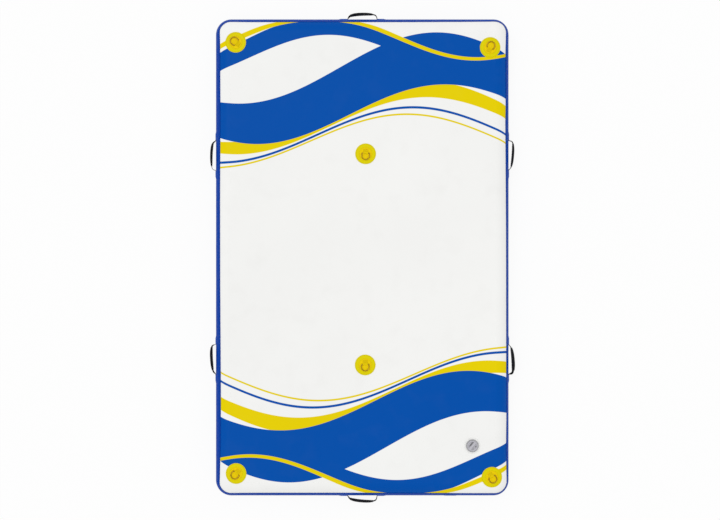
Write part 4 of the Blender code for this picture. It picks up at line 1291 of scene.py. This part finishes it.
def moulded_cap(point):
    """Shallow finger grooves round the cap's outer edge, and the scoops beside its bar."""
    reach = point.xy.length
    if reach > 0.0262 and point.z > CAP_BOTTOM + 0.0002:
        groove = GROOVE_DEPTH * max(math.cos(CAP_GROOVES * math.atan2(point.y, point.x)), 0.0) ** 2
        point.xy *= 1 - groove / reach
    elif reach < SCOOP_EDGE and point.z > CAP_BOTTOM + 0.001:
        along, across = point.xy.dot(bar_way), bar_way.cross(point.xy)
        for middle, side, half_length, half_width, depth in SCOOPS:
            off = math.hypot((along - middle) / half_length, (across - side) / half_width)
            point.z -= depth * (1 - min(off, 1.0) ** 3) * min((SCOOP_EDGE - reach) / 0.0015, 1.0)
    return point


# Painted light on the cap: painted shade that deepens as the scoops go down below its floor, and a painted
# highlight on the rim, the bar and the raised ribs that stand above the floor.
cap_painted_shade_and_highlight = (
    (CAP_FLOOR - 0.0001, CAP_FLOOR - 0.0010, -0.60), (CAP_FLOOR + 0.0002, CAP_FLOOR + 0.0007, 0.22)
)
cap_finish = moulded_finish("gray moulded cap", CAP_GRAY, 0.36, tones=cap_painted_shade_and_highlight)
lid_mesh = turned_mesh(lid, steps=192, closed=False, worked=moulded_cap)
add_piece("valve_lid", lid_mesh, cap_finish, "valve_cap", "valve_cap", "valve_cap", place=valve_place)

bar_outline = rounded_rectangle(BAR_LENGTH - 0.0004, BAR_WIDTH, 0.0062, corner_steps=8, parts=(14, 1))
for point in bar_outline:
    point.y *= 0.66 + 0.20 * min(abs(point.x) / (BAR_LENGTH / 2 - 0.006), 1.0) ** 2


def bar_height(run, rise):
    return BAR_TOP - CAP_FLOOR + BAR_ROOT - 0.0005 * (1 - abs(run) / (BAR_LENGTH / 2)) ** 2


bar_mesh = laid_mesh(bar_outline, on_level(CAP_FLOOR - BAR_ROOT), bar_height, crease=60)
bar_place = valve_place @ turned_about(BAR_HEADING)
add_piece("valve_grip_bar", bar_mesh, cap_finish, "valve_cap", "valve_cap", place=bar_place)

plain_gray = moulded_finish("gray inner plastic", INSIDE_GRAY, 0.45)
stem_white = moulded_finish("white stem plastic", STEM_WHITE, 0.42)
rubber = moulded_finish("black rubber", RUBBER_BLACK, 0.72, gloss=0.3)
for finish, nodes in (
    (plain_gray, ("valve_guide", "valve_nut", "valve_button")),
    (stem_white, ("valve_stem",)),
    (rubber, ("valve_gasket", "valve_seal", "valve_cap_seal")),
):
    for node in nodes:
        packed[node].data.materials.clear()
        packed[node].data.materials.append(finish)


def coil_line(bottom, top, turns=5.5, steps=24):
    """The spring's middle line: its end turns lie close, and the turns between them are open."""
    free = (top - bottom - 3 * SPRING_WIRE) / (turns - 2)
    line = []
    for step in range(int(turns * steps) + 1):
        turn = step / steps
        height = SPRING_WIRE * (min(turn, 1.0) + max(turn - turns + 1, 0.0) + 0.5)
        height += free * min(max(turn - 1, 0.0), turns - 2)
        line.append(Vector((*polar(2 * math.pi * turn, SPRING_RADIUS), bottom + height)))
    return line


spring_finish = steel_finish("spring steel", SPRING_STEEL, 0.25)
low, high = (corner[2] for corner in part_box("valve_spring"))
coil = wire_mesh(coil_line(low - THICKNESS, high - THICKNESS), SPRING_WIRE / 2, 12, closed=False)
spring = add_piece(
    "valve_closing_spring", coil, spring_finish, "deck", "valve_spring", "valve_spring", place=valve_place
)
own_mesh(spring)
